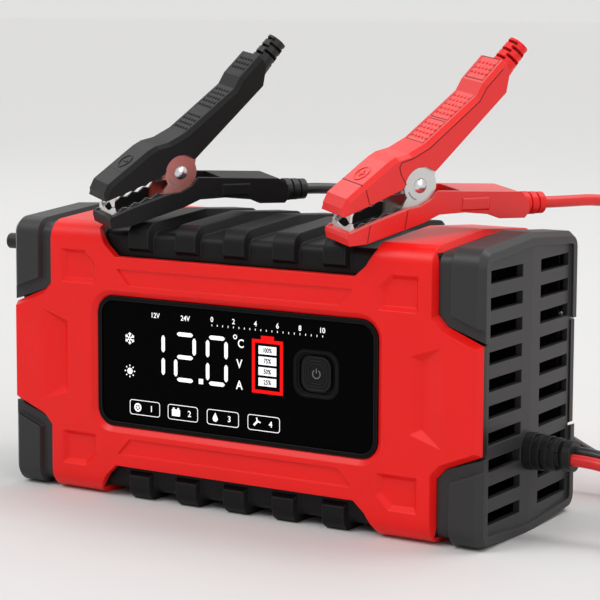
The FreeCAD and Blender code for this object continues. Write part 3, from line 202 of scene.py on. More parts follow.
class Finish(Tree):
    """A material under construction, kept in materials under its name."""

    def __init__(self, name):
        self.material = bpy.data.materials.new(name)
        materials[name] = self.material
        self.material.use_nodes = True
        super().__init__(self.material.node_tree)
        self.tree.nodes.clear()
        self.shader = self.add("ShaderNodeBsdfPrincipled", {}, {})
        end = self.add("ShaderNodeOutputMaterial", {}, {})
        self.tree.links.new(self.shader.outputs[0], end.inputs[0])
        self.place = self.out(self.add("ShaderNodeTexCoord", {}, {}), "Object")

    def set(self, **values):
        for key, value in values.items():
            name = key.replace("_", " ")
            if isinstance(value, Value):
                self.tree.links.new(value.socket, self.shader.inputs[name])
            else:
                self.shader.inputs[name].default_value = value

    def noise(self, scale, detail=2.0, vector=None):
        inputs = {"Vector": vector or self.place, "Scale": scale, "Detail": detail}
        node = self.add("ShaderNodeTexNoise", {}, inputs)
        return self.out(node, 0)

    def voronoi(self, scale):
        node = self.add("ShaderNodeTexVoronoi", {}, {"Vector": self.place, "Scale": scale})
        return self.out(node, "Distance")

    def wave(self, scale, direction, distortion=0.0):
        node = self.add("ShaderNodeTexWave", {"bands_direction": direction},
                        {"Vector": self.place, "Scale": scale, "Distortion": distortion})
        return self.out(node, 1)

    def ramp(self, value, stops):
        node = self.add("ShaderNodeValToRGB", {"stops": stops}, {0: value})
        return self.out(node)

    def blend(self, factor, first, second):
        inputs = {"Factor": factor, 6: first, 7: second}
        node = self.add("ShaderNodeMix", {"data_type": "RGBA"}, inputs)
        return self.out(node, 2)

    def rounded(self, radius):
        node = self.add("ShaderNodeBevel", {"samples": 6}, {"Radius": radius})
        return self.out(node)

    def edge(self, rounded):
        """1 on rounded edges, 0 on flat faces."""
        flat = self.out(self.add("ShaderNodeNewGeometry", {}, {}), "Normal")
        node = self.add("ShaderNodeVectorMath", {"operation": "DOT_PRODUCT"}, {0: rounded, 1: flat})
        return ((1.0 - self.out(node, "Value")) * 6.0).clamp()

    def bump(self, height, distance, normal=None):
        inputs = {"Height": height, "Distance": distance, "Strength": 1.0}
        if normal is not None:
            inputs["Normal"] = normal
        return self.out(self.add("ShaderNodeBump", {}, inputs))


def rgba(colour, factor=1.0):
    return (colour[0] * factor, colour[1] * factor, colour[2] * factor, 1.0)


def moulded(name, colour, roughness, grain=0.45, grain_depth=0.012, edge=0.5, edge_highlight=0.25, coat=0.0, highlight_lift=1.8,
            inside=None, gloss=0.3):
    """Moulded plastic: fine grain, faint random flow tone, a painted highlight on rounded edges, painted shade on
    faces inside the casing.
    """
    f = Finish(name)
    rounded = f.rounded(edge * MM)
    rim = f.edge(rounded)
    cloud = f.noise(38.0, 3.0)
    fine = f.noise(1.0 / (grain * MM), 1.0)
    base = f.blend(cloud, rgba(colour, 0.93), rgba(colour, 1.07))
    # Painted highlight: rounded edges are blended towards a lighter copy of the colour, standing in for the sheen
    # along them.
    with_painted_light = f.blend(rim * edge_highlight, base, rgba([min(1.0, c * highlight_lift + 0.01) for c in colour]))
    if inside:
        # Painted shade: faces inside the casing's walls, seen through the slots, are darkened to near black.
        with_painted_light = f.blend(within_casing(f, *inside), with_painted_light, (0.006, 0.006, 0.006, 1))
    f.set(Base_Color=with_painted_light, Roughness=cloud * 0.08 + fine * 0.06 + (roughness - 0.07),
          Normal=f.bump(fine, grain_depth * MM, rounded))
    f.set(Coat_Weight=coat, Coat_Roughness=0.25, Specular_IOR_Level=gloss)


def within_casing(f, half_y, half_z):
    """1 on the faces that lie inside the casing's walls, where shade is painted, 0 outside."""
    parts = f.add("ShaderNodeSeparateXYZ", {}, {0: f.place})
    height = (f.out(parts, "Z") - MID_HEIGHT * MM).math("ABSOLUTE")
    across = f.out(parts, "Y").math("ABSOLUTE")
    return across.math("LESS_THAN", half_y * MM) * height.math("LESS_THAN", half_z * MM)


def jaw_metal(name, colour, plating, ear):
    """Pressed jaw: bright front plate and edges, painted shade between the levers, and an ear of its own colour.
    """
    f = Finish(name)
    clamp = clamp_matrix(colour)
    axis = clamp.col[0].to_3d().normalized()
    run = f.add("ShaderNodeVectorMath", {"operation": "DOT_PRODUCT"}, {0: f.place, 1: axis})
    along = (f.out(run, "Value") - clamp.to_translation().dot(axis)) * (1 / MM)
    dark = ((along - 2.0) * 2.0).clamp() * ((21.5 - along) * 0.6).clamp()
    rounded = f.rounded(0.12 * MM)
    rim = f.edge(rounded)
    stain = f.noise(160.0, 4.0)
    lines = f.noise(900.0, 2.0)
    metal_colour = f.blend(((along - 18.0) * 0.5).clamp(), rgba(plating), rgba(ear))
    base = f.blend(stain * 0.06, metal_colour, (0.3, 0.3, 0.3, 1))
    # Painted shade: between the levers the plating is darkened and made less metallic; the rounded edges are
    # spared.
    shaded = f.blend(dark * (1.0 - rim) * 0.97, base, (0.012, 0.012, 0.013, 1))
    f.set(Base_Color=shaded, Metallic=1.0 - dark * 0.6, Roughness=lines * 0.06 + stain * 0.06 + 0.24,
          Normal=f.bump(lines, 0.002 * MM, rounded))


def metal(name, colour, roughness, brushed=(1.0, 1.0, 1.0)):
    """Plated sheet or wire with fine drawn lines and stains."""
    f = Finish(name)
    rounded = f.rounded(0.12 * MM)
    stretch = f.out(f.add("ShaderNodeMapping", {}, {"Vector": f.place, "Scale": brushed}))
    lines = f.noise(900.0, 2.0, stretch)
    stain = f.noise(160.0, 4.0)
    base = f.blend(stain, rgba(colour, 0.72), rgba(colour, 1.12))
    f.set(Base_Color=base, Metallic=1.0, Roughness=lines * 0.16 + stain * 0.12 + roughness,
          Normal=f.bump(lines, 0.01 * MM, rounded))


def glossy_pane(name, colour):
    f = Finish(name)
    smear = f.noise(30.0, 5.0)
    dust = f.ramp(f.noise(2600.0, 2.0), [(0.66, 0.0), (0.74, 1.0)])
    f.set(Base_Color=f.blend(dust * 0.02, rgba(colour), (0.5, 0.5, 0.5, 1)),
          Roughness=smear * 0.10 + dust * 0.1 + 0.12, Normal=f.rounded(0.25 * MM))
    f.set(Specular_IOR_Level=0.015)


def lit(name, colour, strength):
    """Backlit print: slightly uneven light behind a white mask."""
    f = Finish(name)
    glow = f.noise(220.0, 1.0)
    tint = f.blend(glow, rgba(colour, 0.90), rgba(colour, 1.0))
    f.set(Base_Color=tint, Emission_Color=tint, Roughness=glow * 0.1 + 0.35)
    f.set(Emission_Strength=strength, Specular_IOR_Level=0.05)


def sheath(name, colour, roughness=0.34):
    """Lead sheath: soft sheen with faint extrusion lines and scuffs."""
    f = Finish(name)
    scuff = f.ramp(f.noise(420.0, 6.0), [(0.52, 0.0), (0.75, 1.0)])
    soft = f.noise(60.0, 3.0)
    base = f.blend(scuff * 0.18, f.blend(soft, rgba(colour, 0.92), rgba(colour, 1.08)), rgba(colour, 1.7))
    f.set(Base_Color=base, Roughness=scuff * 0.18 + soft * 0.06 + roughness,
          Normal=f.bump(f.noise(1800.0, 2.0), 0.012 * MM))


def board_green(name):
    f = Finish(name)
    tracks = f.ramp(f.wave(260.0, "X", 6.0), [(0.62, 0.0), (0.66, 1.0)])
    specks = f.noise(700.0, 2.0)
    base = f.blend(tracks * 0.5, (0.004, 0.06, 0.02, 1), (0.02, 0.15, 0.05, 1))
    f.set(Base_Color=base, Roughness=specks * 0.15 + 0.3,
          Normal=f.bump(tracks, 0.03 * MM, f.rounded(0.1 * MM)))


def wound_copper(name):
    f = Finish(name)
    turns = f.wave(420.0, "Z")
    stain = f.noise(90.0, 2.0)
    base = f.blend(stain, (0.45, 0.16, 0.05, 1), (0.72, 0.30, 0.11, 1))
    f.set(Base_Color=base, Metallic=0.9, Roughness=stain * 0.15 + 0.28, Normal=f.bump(turns, 0.15 * MM))


def woven_strap(name, colour):
    f = Finish(name)
    weave = f.wave(700.0, "X") * f.wave(700.0, "Z") + f.noise(1500.0, 2.0) * 0.3
    base = f.blend(weave.clamp(), rgba(colour, 0.7), rgba(colour, 1.8))
    f.set(Base_Color=base, Roughness=f.noise(90.0) * 0.1 + 0.8, Normal=f.bump(weave, 0.12 * MM))
    f.set(Sheen_Weight=0.3)


def ferrite_grey(name):
    f = Finish(name)
    pits = f.ramp(f.voronoi(900.0), [(0.1, 0.0), (0.3, 1.0)])
    base = f.blend(pits, (0.02, 0.02, 0.022, 1), (0.05, 0.05, 0.055, 1))
    f.set(Base_Color=base, Roughness=pits * 0.1 + 0.55, Normal=f.bump(pits, 0.02 * MM, f.rounded(0.3 * MM)))


def dim(colour, factor):
    return [v * factor for v in colour]


def make_materials():
    c = bpy.context.scene.charger_colours
    black = c.black
    # Casing red, with painted highlights on its rounded edges and painted shade on faces inside its walls.
    moulded("casing_red", c.red, 0.36, edge=0.7, edge_highlight=0.35, highlight_lift=1.5, coat=0.05,
            inside=(36.2, 48.5), gloss=0.25)
    moulded("grip_black", dim(black, 0.6), 0.42, grain=0.6, grain_depth=0.016, edge=0.8, edge_highlight=0.5,
            highlight_lift=4.0, gloss=0.14)
    moulded("cap_black", dim(black, 2.1), 0.42, grain=0.5, grain_depth=0.018, edge=0.45, edge_highlight=0.45,
            highlight_lift=3.2, gloss=0.3)
    moulded("frame_black", dim(black, 0.4), 0.4, edge=0.3, edge_highlight=0.7, highlight_lift=9.0, gloss=0.06)
    moulded("clamp_red_plastic", c.clamp_red, 0.35, edge=0.4, edge_highlight=0.35, highlight_lift=1.5, coat=0.2, gloss=0.5)
    moulded("clamp_black_plastic", dim(black, 0.9), 0.45, grain=0.5, grain_depth=0.016, edge=0.4,
            edge_highlight=0.6, highlight_lift=4.0, gloss=0.16)
    moulded("button_rubber", dim(black, 0.5), 0.4, grain=0.3, edge=0.35, edge_highlight=0.6, highlight_lift=6.0,
            gloss=0.12)
    moulded("boot_red", c.clamp_red, 0.42, edge=0.25, edge_highlight=0.2, highlight_lift=1.4)
    moulded("boot_black", black, 0.42, edge=0.25, edge_highlight=0.3, highlight_lift=3.0)
    glossy_pane("pane", (0.0012, 0.0012, 0.0013))
    lit("print_white", c.display, 0.55)
    lit("print_red", (0.9, 0.006, 0.006), 0.35)
    moulded("print_dark", (0.01, 0.01, 0.01), 0.5, edge=0.02)
    sheath("lead_red", (0.74, 0.012, 0.012))
    sheath("lead_black", (0.014, 0.014, 0.015), 0.3)
    jaw_metal("jaw_silver", "red", (0.80, 0.79, 0.78), (0.66, 0.66, 0.64))
    jaw_metal("jaw_copper", "black", (0.78, 0.76, 0.74), (0.95, 0.45, 0.41))
    metal("rivet_silver", (0.78, 0.78, 0.80), 0.14)
    metal("spring_steel", (0.24, 0.24, 0.26), 0.25, (0.1, 1.0, 1.0))
    metal("screw_steel", (0.55, 0.55, 0.57), 0.22)
    metal("sink_aluminium", (0.75, 0.76, 0.78), 0.30, (0.05, 1.0, 1.0))
    board_green("board_green")
    wound_copper("copper_wire")
    ferrite_grey("ferrite")
    moulded("part_black", (0.012, 0.012, 0.013), 0.45, edge=0.3)
    moulded("fan_black", (0.02, 0.02, 0.021), 0.4, edge=0.4)
    moulded("sign_grey", (0.16, 0.16, 0.165), 0.4, edge=0.05)
    # Dark seam colours, also used for the painted shade inside the empty cable boots.
    moulded("seam_red", dim(c.clamp_red, 0.22), 0.5, edge=0.02, edge_highlight=0.0)
    moulded("seam_black", dim(black, 0.15), 0.5, edge=0.02, edge_highlight=0.0)
    # Painted highlight: the lips get a lighter pink red and a lighter black than their clamps, with strong edge
    # highlights, standing in for the sheen along their top edges.
    moulded("lip_red", (0.92, 0.16, 0.14), 0.3, edge=0.2, edge_highlight=0.9, highlight_lift=1.8, coat=0.3, gloss=0.5)
    moulded("lip_black", (0.05, 0.05, 0.052), 0.3, edge=0.2, edge_highlight=0.9, highlight_lift=2.5, gloss=0.5)
    metal("mark_steel", (0.35, 0.35, 0.36), 0.35)
    woven_strap("tie_strap", (0.012, 0.012, 0.012))


NODE_FINISH = {
    "casing_red": ("front_shell", "rear_shell"),
    "grip_black": ("top_grip", "bottom_grip"),
    "cap_black": ("left_end_cap", "right_end_cap"),
    "frame_black": ("display_frame",),
    "pane": ("display_window",),
    "button_rubber": ("mode_button",),
    "part_black": ("push_switch", "digit_module", "capacitors", "power_transistors"),
    "board_green": ("display_board", "main_board"),
    "screw_steel": ("casing_screws", "display_screws", "board_screws", "fan_screws", "fuse"),
    "sink_aluminium": ("front_heat_sink", "rear_heat_sink"),
    "ferrite": ("transformer_core",),
    "copper_wire": ("transformer_winding", "choke"),
    "fan_black": ("fan_frame", "fan_rotor"),
    "boot_black": ("output_strain_relief", "mains_gland"),
    "tie_strap": ("coil_tie",),
}
JAW_FINISH = {"red": "jaw_silver", "black": "jaw_copper"}


def clamp_finish(colour):
    """The finish of each part of one clamp."""
    plastic, boot, jaw = "clamp_%s_plastic" % colour, "boot_" + colour, JAW_FINISH[colour]
    return {"upper_lever": plastic, "lower_lever": plastic, "upper_jaw": jaw, "lower_jaw": jaw,
            "upper_boot": boot, "lower_boot": boot, "pivot_rivet": "rivet_silver",
            "torsion_spring": "spring_steel"}


def finish_node(node, material):
    mesh = frame["nodes"][node].data
    mesh.materials.clear()
    mesh.materials.append(materials[material])


def record_slot(node):
    return next(s["material_slot"] for s in frame["record"]["subparts"] if s["node"] == node)


def linked(name, data):
    """A new object in the scene, at the origin."""
    item = bpy.data.objects.new(name, data)
    bpy.context.scene.collection.objects.link(item)
    return item


def new_piece(name, mesh, material, body, slot_of):
    """Links a mesh as a piece that rides on a body, and looks up the slot of a CAD node without giving it to the
    piece.
    """
    mesh.materials.clear()
    mesh.materials.append(materials[material])
    piece = linked(name, mesh)
    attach(piece, body)
    record_slot(slot_of)
    return piece


def mesh_from(name, build, smooth=False):
    """A mesh from a function that fills a bmesh, with its normals outwards."""
    bm = bmesh.new()
    build(bm)
    bmesh.ops.remove_doubles(bm, verts=bm.verts, dist=1e-7)
    bmesh.ops.recalc_face_normals(bm, faces=bm.faces)
    mesh = bpy.data.meshes.new(name)
    bm.to_mesh(mesh)
    bm.free()
    if smooth:
        mesh.shade_smooth()
    return mesh


def add_plate(bm, outline, y_back, thick, holes=()):
    """An upright plate seen from the front; outline and holes are (x, z) in mm, heights from mid-height."""
    loops = []
    for points in [outline] + list(holes):
        back = [bm.verts.new((x * MM, y_back * MM, (z + MID_HEIGHT) * MM)) for x, z in points]
        front = [bm.verts.new((x * MM, (y_back - thick) * MM, (z + MID_HEIGHT) * MM)) for x, z in points]
        for i in range(len(points)):
            j = (i + 1) % len(points)
            bm.faces.new((back[i], back[j], front[j], front[i]))
        loops.append((back, front))
    if not holes:
        bm.faces.new(loops[0][0])
        bm.faces.new(loops[0][1])
        return
    for side in (0, 1):
        outer = loops[0][side]
        inner = loops[1][side]
        count = len(outer)
        for i in range(count):
            j = (i + 1) % count
            bm.faces.new((outer[i], outer[j], inner[j], inner[i]))


def ring_points(cx, cz, half_x, half_z, radius, steps=6):
    points = []
    corners = [(1, 1, 0), (-1, 1, 90), (-1, -1, 180), (1, -1, 270)]
    for sx, sz, start in corners:
        for i in range(steps + 1):
            angle = math.radians(start + 90.0 * i / steps)
            points.append((cx + sx * (half_x - radius) + radius * math.cos(angle),
                           cz + sz * (half_z - radius) + radius * math.sin(angle)))
    return points


def circle_points(cx, cz, radius, count=28):
    return [(cx + radius * math.cos(2 * math.pi * i / count), cz + radius * math.sin(2 * math.pi * i / count))
            for i in range(count)]


def bar_points(x0, z0, x1, z1, width):
    """A bar between two points with pointed ends, as in a seven-bar digit."""
    a = Vector((x0, z0))
    b = Vector((x1, z1))
    along = (b - a).normalized()
    across = Vector((-along.y, along.x)) * (width / 2)
    tip = along * (width / 2)
    side = across * 0.3
    points = [a + side, a + tip + across, b - tip + across, b + side, b - side, b - tip - across,
              a + tip - across, a - side]
    return [(p.x, p.y) for p in points]


def stroke_points(x0, z0, x1, z1, width):
    a = Vector((x0, z0))
    b = Vector((x1, z1))
    across = Vector((-(b - a).y, (b - a).x)).normalized() * (width / 2)
    return [tuple(a + across), tuple(b + across), tuple(b - across), tuple(a - across)]


def sweep(bm, stations, closed=False):
    """Joins rectangular sections into one bar; each is (place, half width, half height) as vectors."""
    rings = []
    for place, across, out in stations:
        corners = (place - across - out, place + across - out, place + across + out, place - across + out)
        rings.append([bm.verts.new(corner) for corner in corners])
    pairs = list(zip(rings, rings[1:])) + ([(rings[-1], rings[0])] if closed else [])
    for a, b in pairs:
        for k in range(4):
            bm.faces.new((a[k], a[(k + 1) % 4], b[(k + 1) % 4], b[k]))
    if not closed:
        bm.faces.new(rings[0])
        bm.faces.new(rings[-1])


def line_on(bm, points, normal, width, height, closed=False):
    """A raised line along points of a plane, half sunk in it, with mitred corners."""
    stations = []
    count = len(points)
    for i, point in enumerate(points):
        before = points[i - 1] if i or closed else None
        after = points[(i + 1) % count] if i < count - 1 or closed else None
        runs = []
        if before is not None:
            runs.append((point - before).normalized())
        if after is not None:
            runs.append((after - point).normalized())
        along = sum(runs, Vector()).normalized()
        across = normal.cross(along).normalized() * (width / 2 / max(0.4, along.dot(runs[0])))
        stations.append((point, across, normal * height))
    sweep(bm, stations, closed)


def ring_on(bm, centre, u_axis, v_axis, radius, width, height, start=0.0, end=360.0, count=36):
    """A raised ring, or a part of one, on the plane of two axes."""
    closed = end - start >= 360.0
    steps = count if closed else count + 1
    points = []
    for i in range(steps):
        angle = math.radians(start + (end - start) * i / count)
        points.append(centre + (u_axis * math.cos(angle) + v_axis * math.sin(angle)) * radius)
    line_on(bm, points, u_axis.cross(v_axis).normalized(), width, height, closed)


def scaled_mesh(name, build, matrix):
    """A mesh built in millimetres and then placed by a matrix."""
    mesh = mesh_from(name, build)
    mesh.transform(matrix)
    return mesh


SEGMENTS = {"0": "abcdef", "1": "bc", "2": "abged"}


def digit_bars(bm, figure, x0, x1, z0, z1, width, thick):
    """One seven-bar digit between x0 and x1."""
    half = width / 2
    left, right = x0 + half, x1 - half
    top, bottom = z1 - half, z0 + half
    middle = (top + bottom) / 2
    gap = width * 0.72
    side = width * 0.42
    bars = {
        "a": (left + side, top, right - side, top), "g": (left + side, middle, right - side, middle),
        "d": (left + side, bottom, right - side, bottom),
        "f": (left, middle + gap, left, top - gap), "b": (right, middle + gap, right, top - gap),
        "e": (left, bottom + gap, left, middle - gap), "c": (right, bottom + gap, right, middle - gap),
    }
    for key in SEGMENTS[figure]:
        add_plate(bm, bar_points(*bars[key], width), WINDOW_FRONT, thick)


def text_mesh(name, words, place, height, thick, width_factor=1.0, bold=0.0):
    """Figures or unit letters facing the front, centred on place, (x, z) in mm."""
    curve = bpy.data.curves.new(name, "FONT")
    curve.body = words
    curve.align_x = "CENTER"
    curve.align_y = "CENTER"
    curve.size = 1.0
    curve.extrude = 0.5
    curve.offset = bold
    curve.resolution_u = 3
    letters = linked(name, curve)
    bpy.context.view_layer.update()
    mesh = bpy.data.meshes.new_from_object(letters.evaluated_get(bpy.context.evaluated_depsgraph_get()))
    bpy.data.objects.remove(letters)
    bpy.data.curves.remove(curve)
    low = min(v.co.y for v in mesh.vertices)
    high = max(v.co.y for v in mesh.vertices)
    centre_x = (min(v.co.x for v in mesh.vertices) + max(v.co.x for v in mesh.vertices)) / 2
    factor = height / (high - low)
    for vertex in mesh.vertices:
        x, y, z = vertex.co
        vertex.co = ((place[0] + (x - centre_x) * factor * width_factor) * MM,
                     (WINDOW_FRONT - thick * (0.5 + z)) * MM,
                     (place[1] + MID_HEIGHT + (y - (low + high) / 2) * factor) * MM)
    return mesh


def join_meshes(name, meshes):
    bm = bmesh.new()
    for mesh in meshes:
        bm.from_mesh(mesh)
        bpy.data.meshes.remove(mesh)
    bmesh.ops.remove_doubles(bm, verts=bm.verts, dist=1e-8)
    bmesh.ops.recalc_face_normals(bm, faces=bm.faces)
    mesh = bpy.data.meshes.new(name)
    bm.to_mesh(mesh)
    bm.free()
    return mesh


DIGITS = [("1", -39.0, -29.5), ("2", -25.5, -15.9), ("0", -11.6, -2.2)]
DIGIT_LOW = -5.0
SNOWFLAKE = (-45.2, 8.9)
SUN = (-45.2, -3.2)
MODE_BOXES = [(-45.3, -31.8), (-28.3, -15.1), (-11.2, 2.5), (6.2, 19.7)]
BOX_LOW = -19.2
BOX_HIGH = -13.6
BATTERY = (8.0, 20.9, -5.7, 13.5)
BATTERY_LINE = 1.25
CAP_HALF = 2.7
CAP_RISE = 1.4
BAR_HALF = (3.7, 1.45)
BAR_PITCH = 3.78
BAR_TOP = 9.8
BOX_LINE = 0.24


def lit_digits(thick, height, stroke):
    def build(bm):
        for figure, x0, x1 in DIGITS:
            digit_bars(bm, figure, x0, x1, DIGIT_LOW, DIGIT_LOW + height, stroke, thick)
        add_plate(bm, ring_points(-13.75, DIGIT_LOW + 1.0, 0.95, 0.95, 0.15), WINDOW_FRONT, thick)
    return mesh_from("display_digits", build)


def pictograms(thick):
    """Snowflake, sun, wheel, battery, drop and spanner signs, and the frames of the mode fields."""
    def build(bm):
        def plate(outline, *holes):
            add_plate(bm, outline, WINDOW_FRONT, thick, holes)

        def ray(cx, cz, angle, inner, outer, width):
            """A bar that points away from a centre."""
            way = Vector((math.cos(angle), math.sin(angle)))
            near, far = Vector((cx, cz)) + way * inner, Vector((cx, cz)) + way * outer
            plate(stroke_points(near.x, near.y, far.x, far.y, width))
            return way

        def rays(cx, cz, count, first, inner, outer, width):
            return [(a, ray(cx, cz, a, inner, outer, width))
                    for a in (math.radians(first + 360 / count * i) for i in range(count))]

        for angle, way in rays(*SNOWFLAKE, 6, 30, 0.3, 2.2, 0.42):
            for side in (-1, 1):
                ray(SNOWFLAKE[0] + 1.25 * way.x, SNOWFLAKE[1] + 1.25 * way.y, angle + side * math.radians(48),
                    0.0, 0.85, 0.34)
        plate(circle_points(*SUN, 1.2))
        rays(*SUN, 8, 0, 1.75, 2.35, 0.42)
        icon_z = (BOX_LOW + BOX_HIGH) / 2
        hz = (BOX_HIGH - BOX_LOW) / 2
        for x0, x1 in MODE_BOXES:
            mx, hx = (x0 + x1) / 2, (x1 - x0) / 2
            plate(ring_points(mx, icon_z, hx, hz, 1.1),
                  ring_points(mx, icon_z, hx - BOX_LINE, hz - BOX_LINE, 0.9))
        wheel, battery, drop, spanner = [x0 + 3.6 for x0, x1 in MODE_BOXES]
        plate(circle_points(wheel, icon_z, 1.6), circle_points(wheel, icon_z, 1.05))
        plate(circle_points(wheel, icon_z, 0.4))
        rays(wheel, icon_z, 5, 90, 0.4, 1.1, 0.3)
        plate(ring_points(battery, icon_z - 0.2, 1.8, 1.25, 0.25, 2))
        for side in (-1, 1):
            plate(ring_points(battery + side * 1.0, icon_z + 1.35, 0.4, 0.28, 0.08, 2))
            ray(spanner + 0.55, icon_z + 0.55, math.radians(45 + side * 62), 0.0, 1.35, 0.5)
        plate(drop_points(drop, icon_z))
        plate(stroke_points(spanner - 1.0, icon_z - 1.0, spanner + 0.7, icon_z + 0.7, 0.75))
    return mesh_from("display_signs", build)


def drop_points(cx, cz):
    points = [(cx, cz + 1.75)]
    for i in range(17):
        angle = math.radians(40 - 260.0 * i / 16)
        points.append((cx + 1.1 * math.cos(angle), cz - 0.5 + 1.1 * math.sin(angle)))
    return points


def battery_sign(thick):
    x0, x1, z0, z1 = BATTERY

    def build(bm):
        mx, mz = (x0 + x1) / 2, (z0 + z1) / 2
        hx, hz = (x1 - x0) / 2, (z1 - z0) / 2
        outer, inner = [[(mx + sx * (hx - cut), mz + sz * (hz - cut))
                         for sx, sz in ((1, 1), (-1, 1), (-1, -1), (1, -1))] for cut in (0, BATTERY_LINE)]
        add_plate(bm, outer, WINDOW_FRONT, thick, [inner])
        half, top = CAP_HALF, z1 + CAP_RISE
        cap = [(mx + half, z1), (mx + half, top), (mx - half, top), (mx - half, z1)]
        add_plate(bm, cap, WINDOW_FRONT, thick)
    return mesh_from("display_battery_sign", build)


def named_tree(name, inputs):
    """A new geometry tree with named inputs: the tree, their identifiers and a builder."""
    tree = bpy.data.node_groups.new(name, "GeometryNodeTree")
    sockets = {}
    for label, kind, value in inputs:
        item = tree.interface.new_socket(label, in_out="INPUT", socket_type="NodeSocket" + kind)
        item.default_value = value
        sockets[label] = item.identifier
    tree.interface.new_socket("Geometry", in_out="OUTPUT", socket_type="NodeSocketGeometry")
    return tree, sockets, Tree(tree)


def end_tree(t, copies, material):
    """Makes the copies real, gives them their finish and sends them out."""
    real = t.add("GeometryNodeRealizeInstances", {}, {"Geometry": t.out(copies)})
    painted = t.add("GeometryNodeSetMaterial", {}, {"Geometry": t.out(real), "Material": material})
    t.add("NodeGroupOutput", {}, {"Geometry": t.out(painted)})


def tick_tree(material):
    """Upright bars in a row, each as wide and high as its inputs say."""
    tree, sockets, t = named_tree("bar_row", (
        ("Count", "Int", 4), ("Step", "Vector", (0, 0, -0.004)), ("Start", "Vector", (0, 0, 0)),
        ("Size", "Vector", (1, 1, 1))))
    source = t.add("NodeGroupInput", {}, {})
    row = t.add("GeometryNodeMeshLine", {"mode": "OFFSET"},
                {"Count": t.out(source, "Count"), "Start Location": t.out(source, "Start"),
                 "Offset": t.out(source, "Step")})
    cube = t.add("GeometryNodeMeshCube", {}, {"Size": t.out(source, "Size")})
    copies = t.add("GeometryNodeInstanceOnPoints", {}, {"Points": t.out(row), "Instance": t.out(cube)})
    end_tree(t, copies, material)
    return tree, sockets


def dot_tree(material):
    """Domes on a grid, as on a moulded grip pad."""
    tree, sockets, t = named_tree("grip_dots", (
        ("Rows", "Int", 5), ("Columns", "Int", 4), ("Pitch", "Float", 0.002), ("Radius", "Float", 0.0005),
        ("Flatness", "Float", 0.6)))
    source = t.add("NodeGroupInput", {}, {})
    rows, columns, pitch = (t.out(source, n) for n in ("Rows", "Columns", "Pitch"))
    grid = t.add("GeometryNodeMeshGrid", {},
                 {"Size X": (rows - 1.0) * pitch, "Size Y": (columns - 1.0) * pitch,
                  "Vertices X": rows, "Vertices Y": columns})
    radius = t.out(source, "Radius")
    ball = t.add("GeometryNodeMeshUVSphere", {}, {"Segments": 12, "Rings": 8, "Radius": radius})
    squash = t.add("ShaderNodeCombineXYZ", {}, {"X": 1.0, "Y": 1.0, "Z": t.out(source, "Flatness")})
    copies = t.add("GeometryNodeInstanceOnPoints", {},
                   {"Points": t.out(grid), "Instance": t.out(ball), "Scale": t.out(squash)})
    end_tree(t, copies, material)
    return tree, sockets


def baked(tree, sockets, values):
    """The plain mesh that a node tree makes with these input values."""
    carrier = linked("carrier", bpy.data.meshes.new("carrier"))
    modifier = carrier.modifiers.new("nodes", "NODES")
    modifier.node_group = tree
    for label, value in values.items():
        modifier[sockets[label]] = value
    bpy.context.view_layer.update()
    mesh = bpy.data.meshes.new_from_object(carrier.evaluated_get(bpy.context.evaluated_depsgraph_get()))
    data = carrier.data
    bpy.data.objects.remove(carrier)
    bpy.data.meshes.remove(data)
    return mesh


def joint(name):
    return next(j for j in frame["joints"] if j["name"] == name)


def clamp_matrix(colour):
    """From the clamp's own axes, in mm, to the frame: u to the handles, v to the far side, w up."""
    hinge = joint(colour + "_clamp_open")
    mount = next(m for m in frame["record"]["mounts"] if m["name"] == colour + "_clamp_jaws")
    u = -Vector(mount["axis"])
    v = Vector(hinge["axis"])
    w = u.cross(v)
    turn = Matrix((u, v, w)).transposed() * MM
    place = Vector(hinge["pos_m"]) - turn @ PIVOT
    return Matrix.Translation(place) @ turn.to_4x4()


def control_coil(layer):
    """Control points of a lead's coil: inwards on one layer, up, and outwards on the next."""
    points = []
    z = TIE_THICK + LEAD_D / 2 + layer * COIL_PITCH
    centre_y = COIL_Y
    radius = COIL_R
    side = -1
    for half in range(2 * COIL_HALVES + 1):
        climbing = half == COIL_HALVES
        for i in range(COIL_POINTS):
            share = (i + 0.5) / COIL_POINTS
            angle = math.radians(side * 90 + 180 * share)
            rise = COIL_PITCH * (3 * share ** 2 - 2 * share ** 3) if climbing else 0.0
            reach = radius / math.cos(math.pi / (2 * COIL_POINTS))
            points.append((COIL_X + reach * math.cos(angle), centre_y + reach * math.sin(angle), z + rise))
        if climbing:
            z += COIL_PITCH
        change = COIL_PITCH / 2 * (-1 if half < COIL_HALVES else 1)
        centre_y += side * change
        radius += change
        side = -side
    return points


def relief_points(side):
    start = (RELIEF_X, side * LEAD_APART[0], RELIEF_Z + side * LEAD_APART[1])
    return [start, (start[0] + LEAD_STRAIGHT, start[1], start[2])]


def lead_points(colour, side, start_route, end_route, layer):
    clamp = clamp_matrix(colour)
    end = Vector(BOOT_END)
    boot = [tuple(clamp @ (end + Vector((run, 0, 0))) / MM) for run in (0, LEAD_STRAIGHT)]
    low = TIE_THICK + LEAD_D / 2 + layer * COIL_PITCH
    entry = (COIL_X - LEAD_STRAIGHT, COIL_Y - COIL_R, low)
    leave = (COIL_X - LEAD_STRAIGHT, COIL_Y + COIL_R + COIL_PITCH, low + COIL_PITCH)
    return (relief_points(side) + start_route + [entry] + control_coil(layer) + [leave]
            + list(reversed(end_route)) + list(reversed(boot)))


def lead_curve(name, points, material):
    curve = bpy.data.curves.new(name, "CURVE")
    curve.dimensions = "3D"
    spline = curve.splines.new("NURBS")
    spline.points.add(len(points) - 1)
    for point, place in zip(spline.points, points):
        point.co = (place[0] * MM, place[1] * MM, place[2] * MM, 1.0)
    spline.order_u = 3
    spline.use_endpoint_u = True
    curve.bevel_depth = LEAD_D / 2 * MM
    curve.bevel_resolution = 6
    curve.resolution_u = 8
    curve.use_fill_caps = True
    curve.materials.append(materials[material])
    return linked(name, curve)


